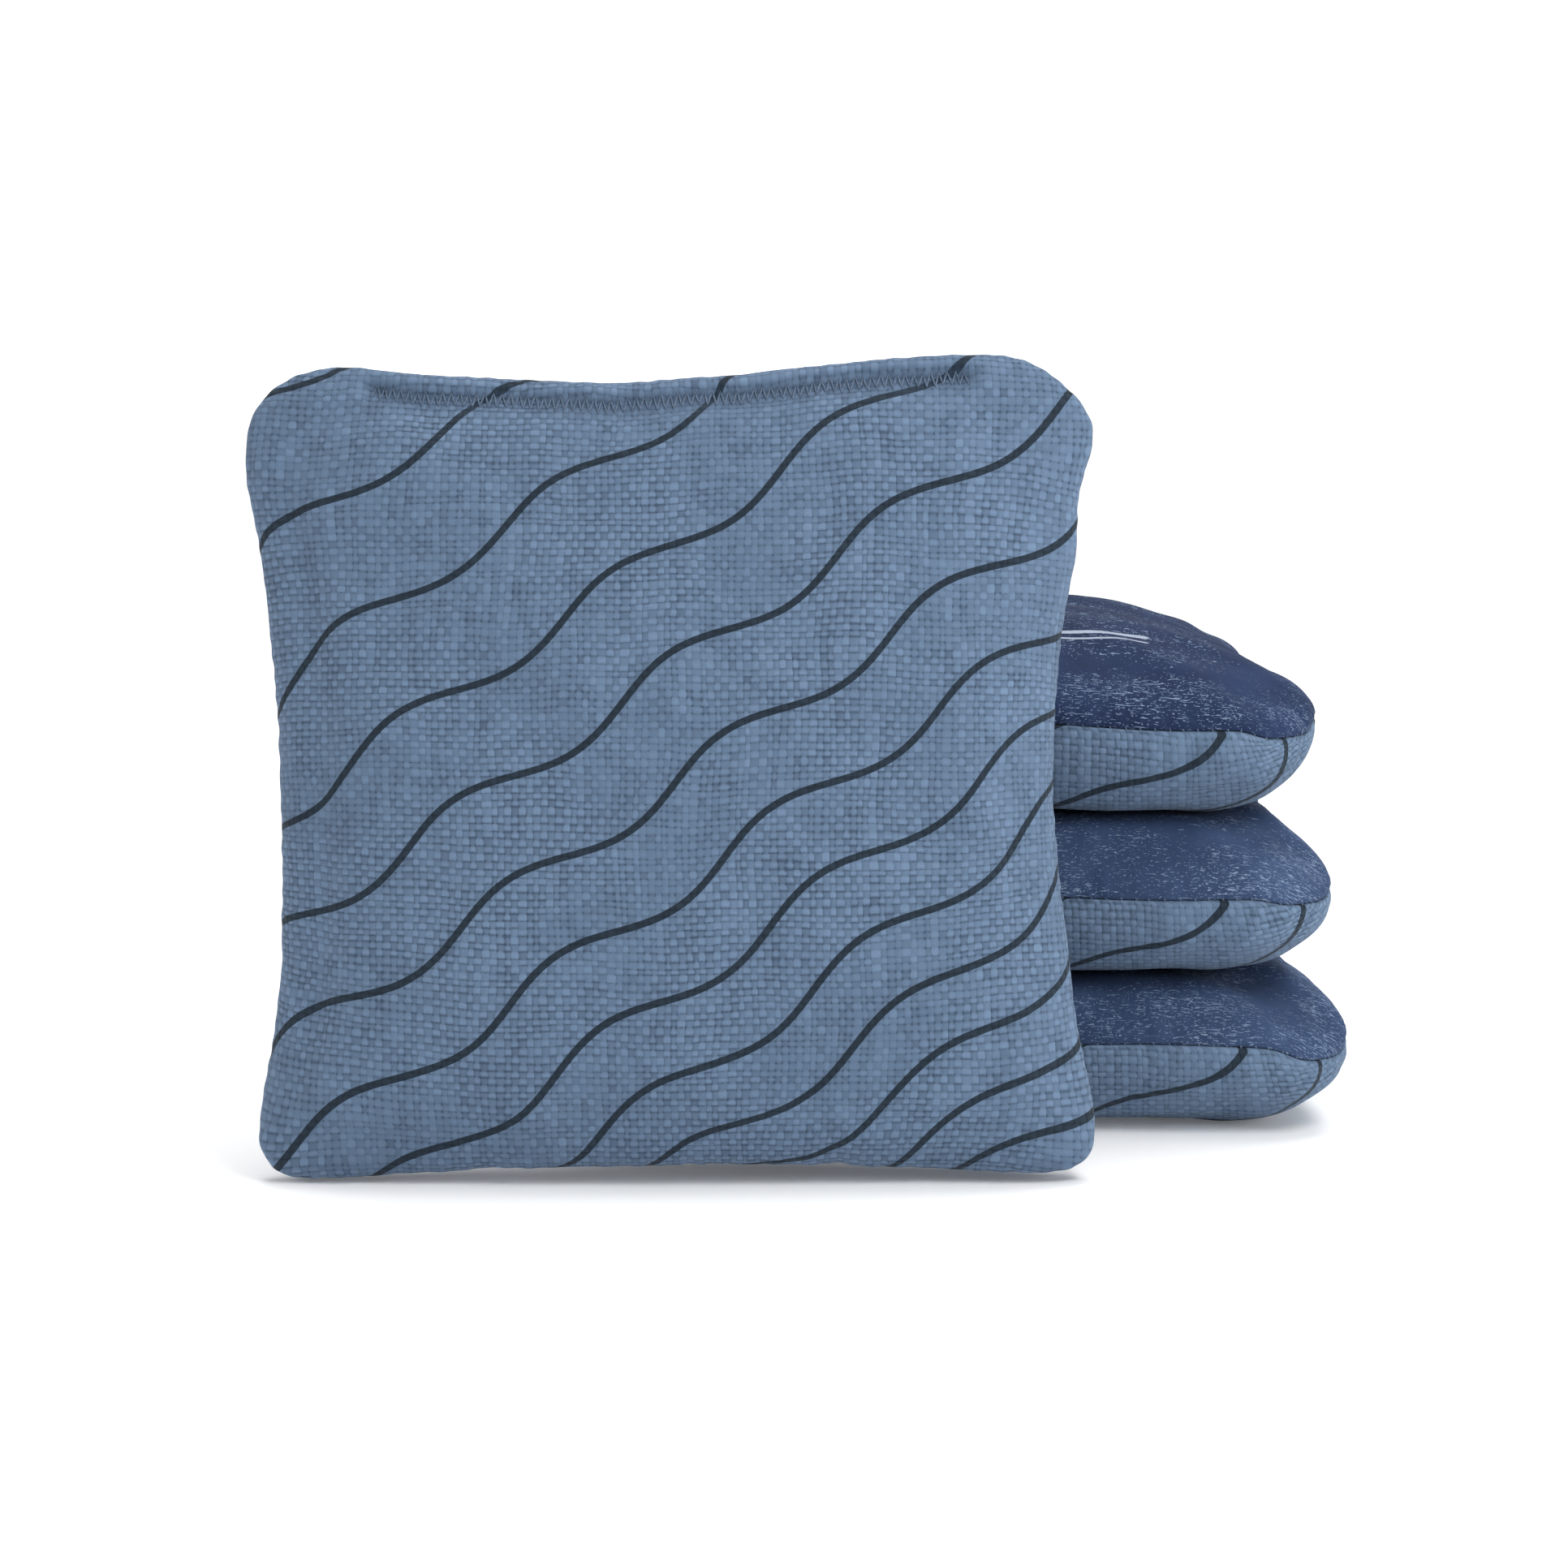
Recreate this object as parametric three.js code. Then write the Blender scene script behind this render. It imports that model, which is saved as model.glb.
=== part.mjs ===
// Set of four square throwing bags for the bag-toss lawn game. Three bags lie
// flat in a stack, printed woven side down, and the fourth stands on its lower
// edge in front of them, printed woven side forward, and leans back on the stack.
//
// Each bag is two fabric panels sewn face to face round the edge and turned
// right side out, so that both seam allowances lie inside. A ring of seam thread
// runs between the allowances, loose pellets fill the bag, and the edge that the
// bag was filled through is closed by a zigzag row of thread.
//
// Millimetres, +Z up, origin on the ground under the middle of the set.
import * as THREE from 'three';

// ---- one bag -------------------------------------------------------------
const BAG_WIDTH = 152;         // over the corners, left to right
const BAG_HEIGHT = 148;        // over the corners, lower edge to closing edge
const SIDE_BOW = 6.6;          // how far the left and right edges pull in between the corners
const END_BOW = 3.4;           // the same for the lower edge and the closing edge
const CORNER_RADIUS = 15;      // of the seam line at each corner
const FABRIC = 1.0;            // panel thickness
const GAP = 0.3;               // clearance between pieces that touch
const ALLOWANCE = 8;           // width of the turned-in seam allowance
const RIM = 0.15;              // half the gap between the panels at the seam line
const ALLOWANCE_IN = 0.55;     // facing surface of each allowance
const ALLOWANCE_OUT = 1.35;    // its other surface
const THREAD = 0.5;            // seam thread, across
const THREAD_INSET = 3.0;      // from the seam line to the seam thread
const STITCH_RADIUS = 0.4;     // closing thread
const STITCH_LENGTH = 108;     // closing row, end to end
const STITCH_INSET = 6.0;      // from the closing edge to the middle of the row
const STITCH_ZIGZAG = 1.3;     // half the width of the zigzag
const STITCH_WAVES = 12;

// ---- how the four bags lie -------------------------------------------------
// depth: from the seam line to the face, in the middle of the bag. flat: the part of
// the half width that stays at that depth. sag: how much thinner the bag is near
// its closing edge, where the pellets have run down and left it.
const STACK_Y = 101.5;         // stack centre, behind the front bag's lower edge
const BAGS = {
  bottom_bag: { x: 32, z: 18.0, turn: 0.0, woven: { depth: 18.0, flat: 0.62, sag: 0 }, navy: { depth: 11.0, flat: 0.60, sag: 0 } },
  middle_bag: { x: 29, z: 46.0, turn: -0.8, woven: { depth: 16.7, flat: 0.60, sag: 0 }, navy: { depth: 14.0, flat: 0.58, sag: 0 } },
  top_bag: { x: 27, z: 78.0, turn: 0.6, woven: { depth: 17.7, flat: 0.58, sag: 0 }, navy: { depth: 19.0, flat: 0.30, sag: 0 } },
};
const FRONT = { x: -20.6, lean: 8, woven: { depth: 15.5, flat: 0.50, sag: 0.25 }, navy: { depth: 13.5, flat: 0.50, sag: 0.5 } };

// ---- colours ---------------------------------------------------------------
const WOVEN = { color: 0x6a819d, roughness: 0.9, metalness: 0 };
const NAVY = { color: 0x3e4c6e, roughness: 0.85, metalness: 0 };
const PELLET = { color: 0xe6e2d6, roughness: 0.5, metalness: 0 };
const THREAD_BLUE = { color: 0x8fa6c0, roughness: 0.7, metalness: 0 };

// ---- seam line: a square with round corners and sides that pull in ----------
const HW = BAG_WIDTH / 2;
const HH = BAG_HEIGHT / 2;
function quadrant() {
  const cy = HH - CORNER_RADIUS;
  const cx = HW - CORNER_RADIUS;
  const pts = [];
  for (const f of [0, 0.38, 0.74]) {               // right side, middle to corner
    const y = cy * f;
    pts.push([HW - SIDE_BOW * Math.cos((Math.PI / 2) * f) ** 2, y]);
  }
  for (const a of [8, 45, 82]) {                   // corner
    const t = THREE.MathUtils.degToRad(a);
    pts.push([cx + CORNER_RADIUS * Math.cos(t), cy + CORNER_RADIUS * Math.sin(t)]);
  }
  for (const f of [0.74, 0.38]) {                  // closing edge, corner to middle
    const x = cx * f;
    pts.push([x, HH - END_BOW * Math.cos((Math.PI / 2) * f) ** 2]);
  }
  return pts;
}
function seamLine() {
  const q = quadrant();
  const mirrorX = q.map(([x, y]) => [-x, y]);
  const mid = [0, HH - END_BOW];
  const upper = [...q, mid, ...mirrorX.slice(1).reverse()];   // 0 to just before 180 degrees
  const lower = upper.map(([x, y]) => [-x, -y]);
  return [...upper, ...lower];
}
const SEAM = seamLine();

// ---- section of one half, in the plane of one ray from the bag's centre ------
const RINGS = [0.76, 0.90, 0.97, 1.0];
function depthAt(r, y, half) {
  const depth = half.depth * (1 - half.sag * THREE.MathUtils.smoothstep(y, 5, 60));
  if (r <= half.flat) return depth;
  const q = (r - half.flat) / (1 - half.flat);
  return RIM + (depth - RIM) * (1 - q ** 2.4) ** 0.55;
}
// R is the ray's length to the seam line, and rise its slope towards the closing edge.
function outerLine(R, rise, half) {
  return [half.flat, ...RINGS].map((r) => [r * R, r === 1 ? RIM : depthAt(r, r * R * rise, half)]);
}
function offsetLine(line, distance) {
  return line.map(([x, y], i) => {
    const a = line[Math.max(i - 1, 0)];
    const b = line[Math.min(i + 1, line.length - 1)];
    let nx = -(b[1] - a[1]);
    let ny = b[0] - a[0];
    if (i === 0) { nx = 0; ny = 1; }
    const n = Math.hypot(nx, ny);
    return [x - (nx / n) * distance, y - (ny / n) * distance];
  });
}

// A closed surface swept round the bag: every ray has its own section line,
// which starts and ends on the bag's axis.
function sweep(lineFor) {
  const rows = SEAM.map(([x, y]) => {
    const R = Math.hypot(x, y);
    return lineFor(R, y / R).map(([rho, w]) => [(x / R) * rho, (y / R) * rho, w]);
  });
  const n = rows.length;
  const m = rows[0].length;
  const positions = [];
  rows.forEach((row) => row.forEach((p) => positions.push(...p)));
  const axisTop = lineFor.axis[0];
  const axisEnd = lineFor.axis[1];
  const top = n * m;
  const end = top + 1;
  positions.push(0, 0, axisTop, 0, 0, axisEnd);
  const index = [];
  for (let i = 0; i < n; i += 1) {
    const j = (i + 1) % n;
    index.push(top, i * m, j * m);
    for (let k = 0; k < m - 1; k += 1) {
      const a = i * m + k;
      const b = j * m + k;
      index.push(a, a + 1, b + 1, a, b + 1, b);
    }
    index.push(end, j * m + m - 1, i * m + m - 1);
  }
  return solid(positions, index);
}
function solid(positions, index) {
  const g = new THREE.BufferGeometry();
  g.setAttribute('position', new THREE.Float32BufferAttribute(positions, 3));
  g.setIndex(index);
  g.computeVertexNormals();
  return g;
}
// The same section mirrored to the navy side, with its faces turned to match.
function mirrored(geometry) {
  const g = geometry.clone();
  const p = g.attributes.position;
  for (let i = 0; i < p.count; i += 1) p.setZ(i, -p.getZ(i));
  const idx = g.index.array;
  for (let i = 0; i < idx.length; i += 3) { const t = idx[i]; idx[i] = idx[i + 1]; idx[i + 1] = t; }
  g.computeVertexNormals();
  return g;
}

function panel(half) {
  const line = (R, rise) => {
    const outer = outerLine(R, rise, half);
    const inner = offsetLine(outer, FABRIC).slice(0, -1).reverse();
    return [
      ...outer,
      [R - 1.2, ALLOWANCE_IN],
      [R - ALLOWANCE, ALLOWANCE_IN],
      [R - ALLOWANCE, ALLOWANCE_OUT],
      [R - 2.2, ALLOWANCE_OUT],
      ...inner,
    ];
  };
  line.axis = [half.depth, half.depth - FABRIC];
  return sweep(line);
}

function pelletFill(bag) {
  const side = (R, rise, half) => {
    const line = offsetLine(outerLine(R, rise, half), FABRIC + GAP + 0.05);
    const edge = R - ALLOWANCE - GAP - 0.3;
    const kept = line.filter(([rho]) => rho < edge - 1);
    const a = kept[kept.length - 1];
    const b = line[kept.length];
    const t = (edge - a[0]) / (b[0] - a[0]);
    return [...kept.slice(0, 2), [edge, a[1] + t * (b[1] - a[1])]];
  };
  const line = (R, rise) => [
    ...side(R, rise, bag.woven),
    ...side(R, rise, bag.navy).map(([rho, w]) => [rho, -w]).reverse(),
  ];
  const off = FABRIC + GAP + 0.05;
  line.axis = [bag.woven.depth - off, -(bag.navy.depth - off)];
  return sweep(line);
}

// Thread ring between the two allowances, a square section that follows the seam line.
function seamThread() {
  const h = THREAD / 2;
  const positions = [];
  const index = [];
  const n = SEAM.length;
  SEAM.forEach(([x, y]) => {
    const R = Math.hypot(x, y);
    for (const [d, w] of [[0, -h], [0, h], [-THREAD, h], [-THREAD, -h]]) {
      const k = (R - THREAD_INSET + d) / R;
      positions.push(x * k, y * k, w);
    }
  });
  for (let i = 0; i < n; i += 1) {
    const j = (i + 1) % n;
    for (let k = 0; k < 4; k += 1) {
      const l = (k + 1) % 4;
      index.push(i * 4 + k, j * 4 + k, j * 4 + l, i * 4 + k, j * 4 + l, i * 4 + l);
    }
  }
  return solid(positions, index);
}

// Zigzag thread that closes the filling edge. It lies on the woven panel.
function closingStitch(panelGeometry) {
  const skin = new THREE.Mesh(panelGeometry, new THREE.MeshBasicMaterial({ side: THREE.DoubleSide }));
  skin.updateMatrixWorld(true);
  const ray = new THREE.Raycaster();
  const at = [];
  const count = STITCH_WAVES * 2;
  for (let i = 0; i <= count; i += 1) {
    const u = STITCH_LENGTH * (i / count - 0.5);
    const cx = HW - CORNER_RADIUS;
    const edge = HH - END_BOW * Math.cos((Math.PI / 2) * Math.min(1, Math.abs(u) / cx)) ** 2;
    const v = edge - STITCH_INSET + (i % 2 ? STITCH_ZIGZAG : -STITCH_ZIGZAG);
    ray.set(new THREE.Vector3(u, v, 100), new THREE.Vector3(0, 0, -1));
    const hit = ray.intersectObject(skin)[0];
    const lift = STITCH_RADIUS + GAP + 0.25;
    const normal = hit.face.normal.clone();
    if (normal.z < 0) normal.negate();
    at.push(hit.point.clone().addScaledVector(normal, lift));
  }
  const shape = new THREE.Shape();
  for (let k = 0; k < 4; k += 1) {
    const a = (k * Math.PI) / 2;
    const p = [STITCH_RADIUS * Math.cos(a), STITCH_RADIUS * Math.sin(a)];
    if (k) shape.lineTo(...p); else shape.moveTo(...p);
  }
  shape.closePath();
  const smooth = new THREE.CatmullRomCurve3(at, false, 'catmullrom', 0.25);
  return new THREE.ExtrudeGeometry(shape, { steps: count * 2, bevelEnabled: false, extrudePath: smooth });
}

// ---- assembly ----------------------------------------------------------------
function mesh(name, geometry, look) {
  const m = new THREE.Mesh(geometry, new THREE.MeshStandardMaterial(look));
  m.name = name;
  return m;
}
// Bag frame: x along the closing edge, y towards it, z out of the woven face.
function bagGroup(name, bag) {
  const group = new THREE.Group();
  const woven = panel(bag.woven);
  group.add(mesh(`${name}_woven_panel`, woven, WOVEN));
  group.add(mesh(`${name}_navy_panel`, mirrored(panel(bag.navy)), NAVY));
  group.add(mesh(`${name}_pellet_fill`, pelletFill(bag), PELLET));
  group.add(mesh(`${name}_seam_thread`, seamThread(), THREAD_BLUE));
  group.add(mesh(`${name}_closing_stitch`, closingStitch(woven), THREAD_BLUE));
  return group;
}

const set = new THREE.Group();
for (const [name, bag] of Object.entries(BAGS)) {
  const face = bagGroup(name, bag);
  face.rotation.y = Math.PI;                      // woven side down, closing edge to the back
  const place = new THREE.Group();
  place.add(face);
  place.rotation.z = THREE.MathUtils.degToRad(bag.turn);
  place.position.set(bag.x, STACK_Y, bag.z);
  set.add(place);
}
const front = bagGroup('front_bag', FRONT);
front.rotation.x = Math.PI / 2 - THREE.MathUtils.degToRad(FRONT.lean);   // stood up, woven side forward
front.position.set(FRONT.x, HH * Math.sin(THREE.MathUtils.degToRad(FRONT.lean)), 0);
set.add(front);

// The front bag stands with its lower corners on the ground.
set.updateMatrixWorld(true);
const frontBox = new THREE.Box3().setFromObject(front, true);
front.position.z -= frontBox.min.z;

// Origin under the middle of the whole set.
set.updateMatrixWorld(true);
const box = new THREE.Box3().setFromObject(set, true);
set.position.set(-(box.min.x + box.max.x) / 2, -(box.min.y + box.max.y) / 2, -box.min.z);
set.updateMatrixWorld(true);

export default set;
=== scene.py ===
"""Looks for a set of four square throwing bags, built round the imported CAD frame.

Each bag is two stuffed fabric panels that meet in a rolled seam: a coarse-woven printed face and a smooth navy face.
Lengths inside the helpers are millimetres in the bag's own frame (x along the closing edge, y towards it, z out of the
woven face) and are turned into metres in the row frame when a mesh is made.
"""
import math

import bpy
import numpy as np
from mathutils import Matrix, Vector
from mathutils.kdtree import KDTree


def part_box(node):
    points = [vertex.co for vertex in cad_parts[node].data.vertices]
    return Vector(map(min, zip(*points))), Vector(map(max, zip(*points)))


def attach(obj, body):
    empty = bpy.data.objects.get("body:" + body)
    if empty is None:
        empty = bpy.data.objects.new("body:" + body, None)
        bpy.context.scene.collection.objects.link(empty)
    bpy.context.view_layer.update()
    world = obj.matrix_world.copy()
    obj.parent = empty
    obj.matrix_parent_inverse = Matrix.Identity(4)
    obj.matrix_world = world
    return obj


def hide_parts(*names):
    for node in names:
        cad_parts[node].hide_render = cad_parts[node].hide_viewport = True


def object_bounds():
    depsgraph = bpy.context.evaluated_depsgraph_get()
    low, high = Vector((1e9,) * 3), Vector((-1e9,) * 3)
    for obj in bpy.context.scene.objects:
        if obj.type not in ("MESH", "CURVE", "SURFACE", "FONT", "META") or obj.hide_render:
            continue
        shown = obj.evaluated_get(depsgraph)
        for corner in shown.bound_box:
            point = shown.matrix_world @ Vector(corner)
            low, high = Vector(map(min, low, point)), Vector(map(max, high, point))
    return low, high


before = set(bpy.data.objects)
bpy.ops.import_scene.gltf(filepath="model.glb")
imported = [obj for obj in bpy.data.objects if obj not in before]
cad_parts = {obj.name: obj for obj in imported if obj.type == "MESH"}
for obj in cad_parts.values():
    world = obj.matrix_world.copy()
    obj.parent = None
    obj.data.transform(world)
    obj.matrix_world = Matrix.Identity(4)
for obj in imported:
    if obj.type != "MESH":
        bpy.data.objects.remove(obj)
cad_lo, cad_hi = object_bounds()
scene = bpy.context.scene
scene.view_settings.view_transform = "Standard"
scene.view_settings.look = "None"

MM = 0.001
PI = math.pi
N = 240            # cells along a side of a panel's fine surface
M = N // 8         # cells along a side of its lining
FLAT_X, FLAT_Y, FLAT_R = 79.0, 77.0, 17.0   # half sizes and corner radius of a panel as cut and sewn, lying flat
ROLL = 0.95        # radius of the rolled edge beside the seam
YARN = 1.34        # spacing of the yarns in the coarse weave


# ---------------------------------------------------------------- small helpers
def smooth(x, a, b):
    t = np.clip((x - a) / (b - a), 0.0, 1.0)
    return t * t * (3 - 2 * t)


def catmull(points, per=12, closed=False):
    p = np.array(points, float)
    n = len(p)
    out = []
    for i in range(n if closed else n - 1):
        if closed:
            a, b, c, d = p[(i - 1) % n], p[i], p[(i + 1) % n], p[(i + 2) % n]
        else:
            a, b, c, d = p[max(i - 1, 0)], p[i], p[i + 1], p[min(i + 2, n - 1)]
        t = np.linspace(0, 1, per, endpoint=False)[:, None]
        out.append(0.5 * ((2 * b) + (c - a) * t + (2 * a - 5 * b + 4 * c - d) * t**2 + (3 * b - a - 3 * c + d) * t**3))
    out = np.concatenate(out)
    return out if closed else np.vstack([out, p[-1]])


def rounded_rect(a, b, r, bow_x=0.0, bow_y=0.0, n=90):
    """Closed line round a rectangle of half sizes a, b with corner radius r, its sides pulled in by the bows."""
    pts = []
    f = np.linspace(-1, 1, n, endpoint=False)
    corner = np.linspace(0, PI / 2, n // 3, endpoint=False)
    pts.append(np.c_[a - bow_x * np.cos(f * PI / 2) ** 2, (b - r) * f])
    pts.append(np.c_[a - r + r * np.cos(corner), b - r + r * np.sin(corner)])
    pts.append(np.c_[-(a - r) * f, b - bow_y * np.cos(f * PI / 2) ** 2])
    pts.append(np.c_[-(a - r) - r * np.sin(corner), b - r + r * np.cos(corner)])
    half = np.concatenate(pts)
    return np.concatenate([half, -half])


TH = np.linspace(-PI, PI, 1441)


def polar(line):
    """Radius of a closed star-shaped line at each angle in TH."""
    a = np.arctan2(line[:, 1], line[:, 0])
    r = np.hypot(line[:, 0], line[:, 1])
    k = np.argsort(a)
    a, r = a[k], r[k]
    a = np.concatenate([a - 2 * PI, a, a + 2 * PI])
    r = np.concatenate([r, r, r])
    return np.interp(TH, a, r)


def at(table, theta):
    return np.interp(theta, TH, table)


class Waves:
    """A smooth random line round the seam: a sum of whole numbers of waves, the same on every run."""

    def __init__(self, seed, counts):
        rng = np.random.default_rng(seed)
        self.k = np.array(counts, float)
        self.p = rng.uniform(0, 2 * PI, len(counts))
        self.a = rng.uniform(0.6, 1.0, len(counts))
        self.a /= math.sqrt((self.a**2).sum() / 2)

    def __call__(self, f):
        out = np.zeros_like(f)
        for k, p, a in zip(self.k, self.p, self.a):
            out += a * np.cos(2 * PI * k * f + p)
        return out


class Lumps:
    """Soft random hills over a face."""

    def __init__(self, seed, low, high, count=22):
        rng = np.random.default_rng(seed)
        ang = rng.uniform(0, 2 * PI, count)
        wl = rng.uniform(low, high, count)
        self.kx, self.ky = 2 * PI * np.cos(ang) / wl, 2 * PI * np.sin(ang) / wl
        self.p = rng.uniform(0, 2 * PI, count)
        self.n = count

    def __call__(self, x, y):
        out = np.zeros_like(x)
        for kx, ky, p in zip(self.kx, self.ky, self.p):
            out += np.cos(kx * x + ky * y + p)
        return out / math.sqrt(self.n / 2)


R_FLAT = polar(rounded_rect(FLAT_X, FLAT_Y, FLAT_R))
BX = np.cos(TH) * R_FLAT / FLAT_X
BY = np.sin(TH) * R_FLAT / FLAT_Y

# ---------------------------------------------------------------- the four bags
FRONT_SEAM = [
    (-69.7, 0.0), (-69.7, -4.7), (-69.4, -10.0), (-69.4, -15.7), (-69.4, -21.6), (-69.5, -28.8), (-69.4, -35.0),
    (-70.0, -41.1), (-71.3, -49.8), (-72.7, -58.9), (-73.4, -64.3), (-73.4, -67.2), (-72.7, -69.2), (-71.7, -70.7),
    (-70.4, -72.0), (-68.6, -73.0), (-66.1, -73.5), (-61.7, -73.6), (-53.8, -73.3), (-45.8, -72.6), (-38.4, -72.3),
    (-32.4, -71.7), (-26.4, -71.7), (-19.4, -71.7), (-12.9, -71.5), (-7.2, -71.2), (-1.3, -71.3), (5.8, -71.1),
    (9.5, -71.0), (12.6, -71.1), (17.5, -71.1), (24.1, -71.1), (27.5, -71.1), (29.4, -70.8), (31.4, -70.9),
    (33.8, -71.4), (37.3, -71.5), (42.5, -71.7), (47.7, -71.9), (53.1, -72.1), (60.8, -72.5), (67.2, -72.5),
    (70.8, -72.0), (73.0, -71.3), (74.5, -70.4), (75.5, -69.1), (76.2, -67.4), (76.4, -65.0), (76.2, -61.3),
    (74.9, -54.7), (73.3, -46.8), (72.2, -37.6), (70.9, -27.1), (69.7, -17.3), (69.1, -9.1), (68.9, 0.2),
    (69.2, 9.1), (69.8, 18.5), (70.7, 26.4), (72.1, 33.4), (73.1, 38.4), (73.1, 43.7), (73.3, 48.3),
    (74.5, 52.8), (75.8, 57.0), (76.0, 59.9), (75.6, 62.2), (74.5, 64.4), (72.6, 66.9), (69.5, 69.7),
    (66.2, 71.9), (62.6, 73.3), (58.7, 74.0), (52.8, 74.0), (45.2, 73.8), (37.3, 73.1), (28.4, 72.2),
    (20.9, 71.4), (14.8, 70.7), (10.2, 70.4), (3.8, 69.8), (-3.3, 69.2), (-9.3, 69.0), (-15.9, 69.1),
    (-22.6, 69.4), (-28.1, 69.5), (-34.4, 70.0), (-41.6, 70.2), (-49.3, 70.9), (-55.3, 71.7), (-60.4, 71.7),
    (-64.7, 71.0), (-67.9, 69.9), (-70.5, 68.2), (-72.6, 66.1), (-74.3, 63.6), (-75.4, 60.7), (-75.9, 56.8),
    (-75.9, 51.8), (-74.9, 46.3), (-73.3, 39.2), (-72.4, 32.4), (-71.7, 25.3), (-71.1, 20.1), (-70.7, 16.2),
    (-70.6, 12.6), (-70.1, 8.9), (-69.8, 4.0),
]


def centre_of(name):
    lo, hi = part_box(f"{name}_seam_thread")
    return np.array([(lo[i] + hi[i]) / 2 for i in range(3)]) * 1000


class Bag:
    def __init__(self, name, seam, droop, droop_len, woven, navy, seed, lean=None, turn=0.0, shift=0.0, wave=0.3):
        self.name = name
        self.seed = seed
        self.r = polar(seam)
        self.halves = {"woven": woven, "navy": navy}
        self.lean, self.turn = lean, math.radians(turn)
        self.c = centre_of(name) + np.array([shift, 0, 0])
        x, y = self.r * np.cos(TH), self.r * np.sin(TH)
        step = np.hypot(np.diff(x), np.diff(y))
        arc = np.concatenate([[0], np.cumsum(step)])
        self.length = arc[-1]
        self.arc = arc / arc[-1]                       # share of the way round the seam, at each angle in TH
        corners = np.array([math.atan2(sy * (FLAT_Y - 6), sx * (FLAT_X - 6)) for sx in (1, -1) for sy in (1, -1)])
        at_corner = np.interp(corners, TH, self.arc)
        d = np.abs(self.arc[:, None] - at_corner[None, :])
        d = np.minimum(d, 1 - d).min(1) * self.length  # distance along the seam to the nearest corner
        self.corner_dist = d
        rng = np.random.default_rng(seed)
        wob = Waves(seed + 5, [3, 5, 7, 8, 11])
        self.z = droop * np.exp(-((d / droop_len) ** 4)) + wave * wob(self.arc)
        self.scallop = 0.05 * Waves(seed + 9, [97, 113, 131, 149, 167])(self.arc)
        self.scallop += 0.07 * Waves(seed + 11, [17, 23, 29, 37])(self.arc)

    # seam point at an angle, mm
    def seam(self, theta):
        r = at(self.r + self.scallop, theta)
        return r * np.cos(theta), r * np.sin(theta), at(self.z, theta)

    def world(self, p):
        """Bag frame to row frame, mm."""
        u, v, w = p[..., 0], p[..., 1], p[..., 2]
        if self.lean is None:
            x, y, z = -u, v, -w
            c, s = math.cos(self.turn), math.sin(self.turn)
            x, y = c * x - s * y, s * x + c * y
        else:
            a = math.radians(90 - self.lean)
            x, y, z = u, v * math.cos(a) - w * math.sin(a), v * math.sin(a) + w * math.cos(a)
        return np.stack([x, y, z], -1) + self.c


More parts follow.
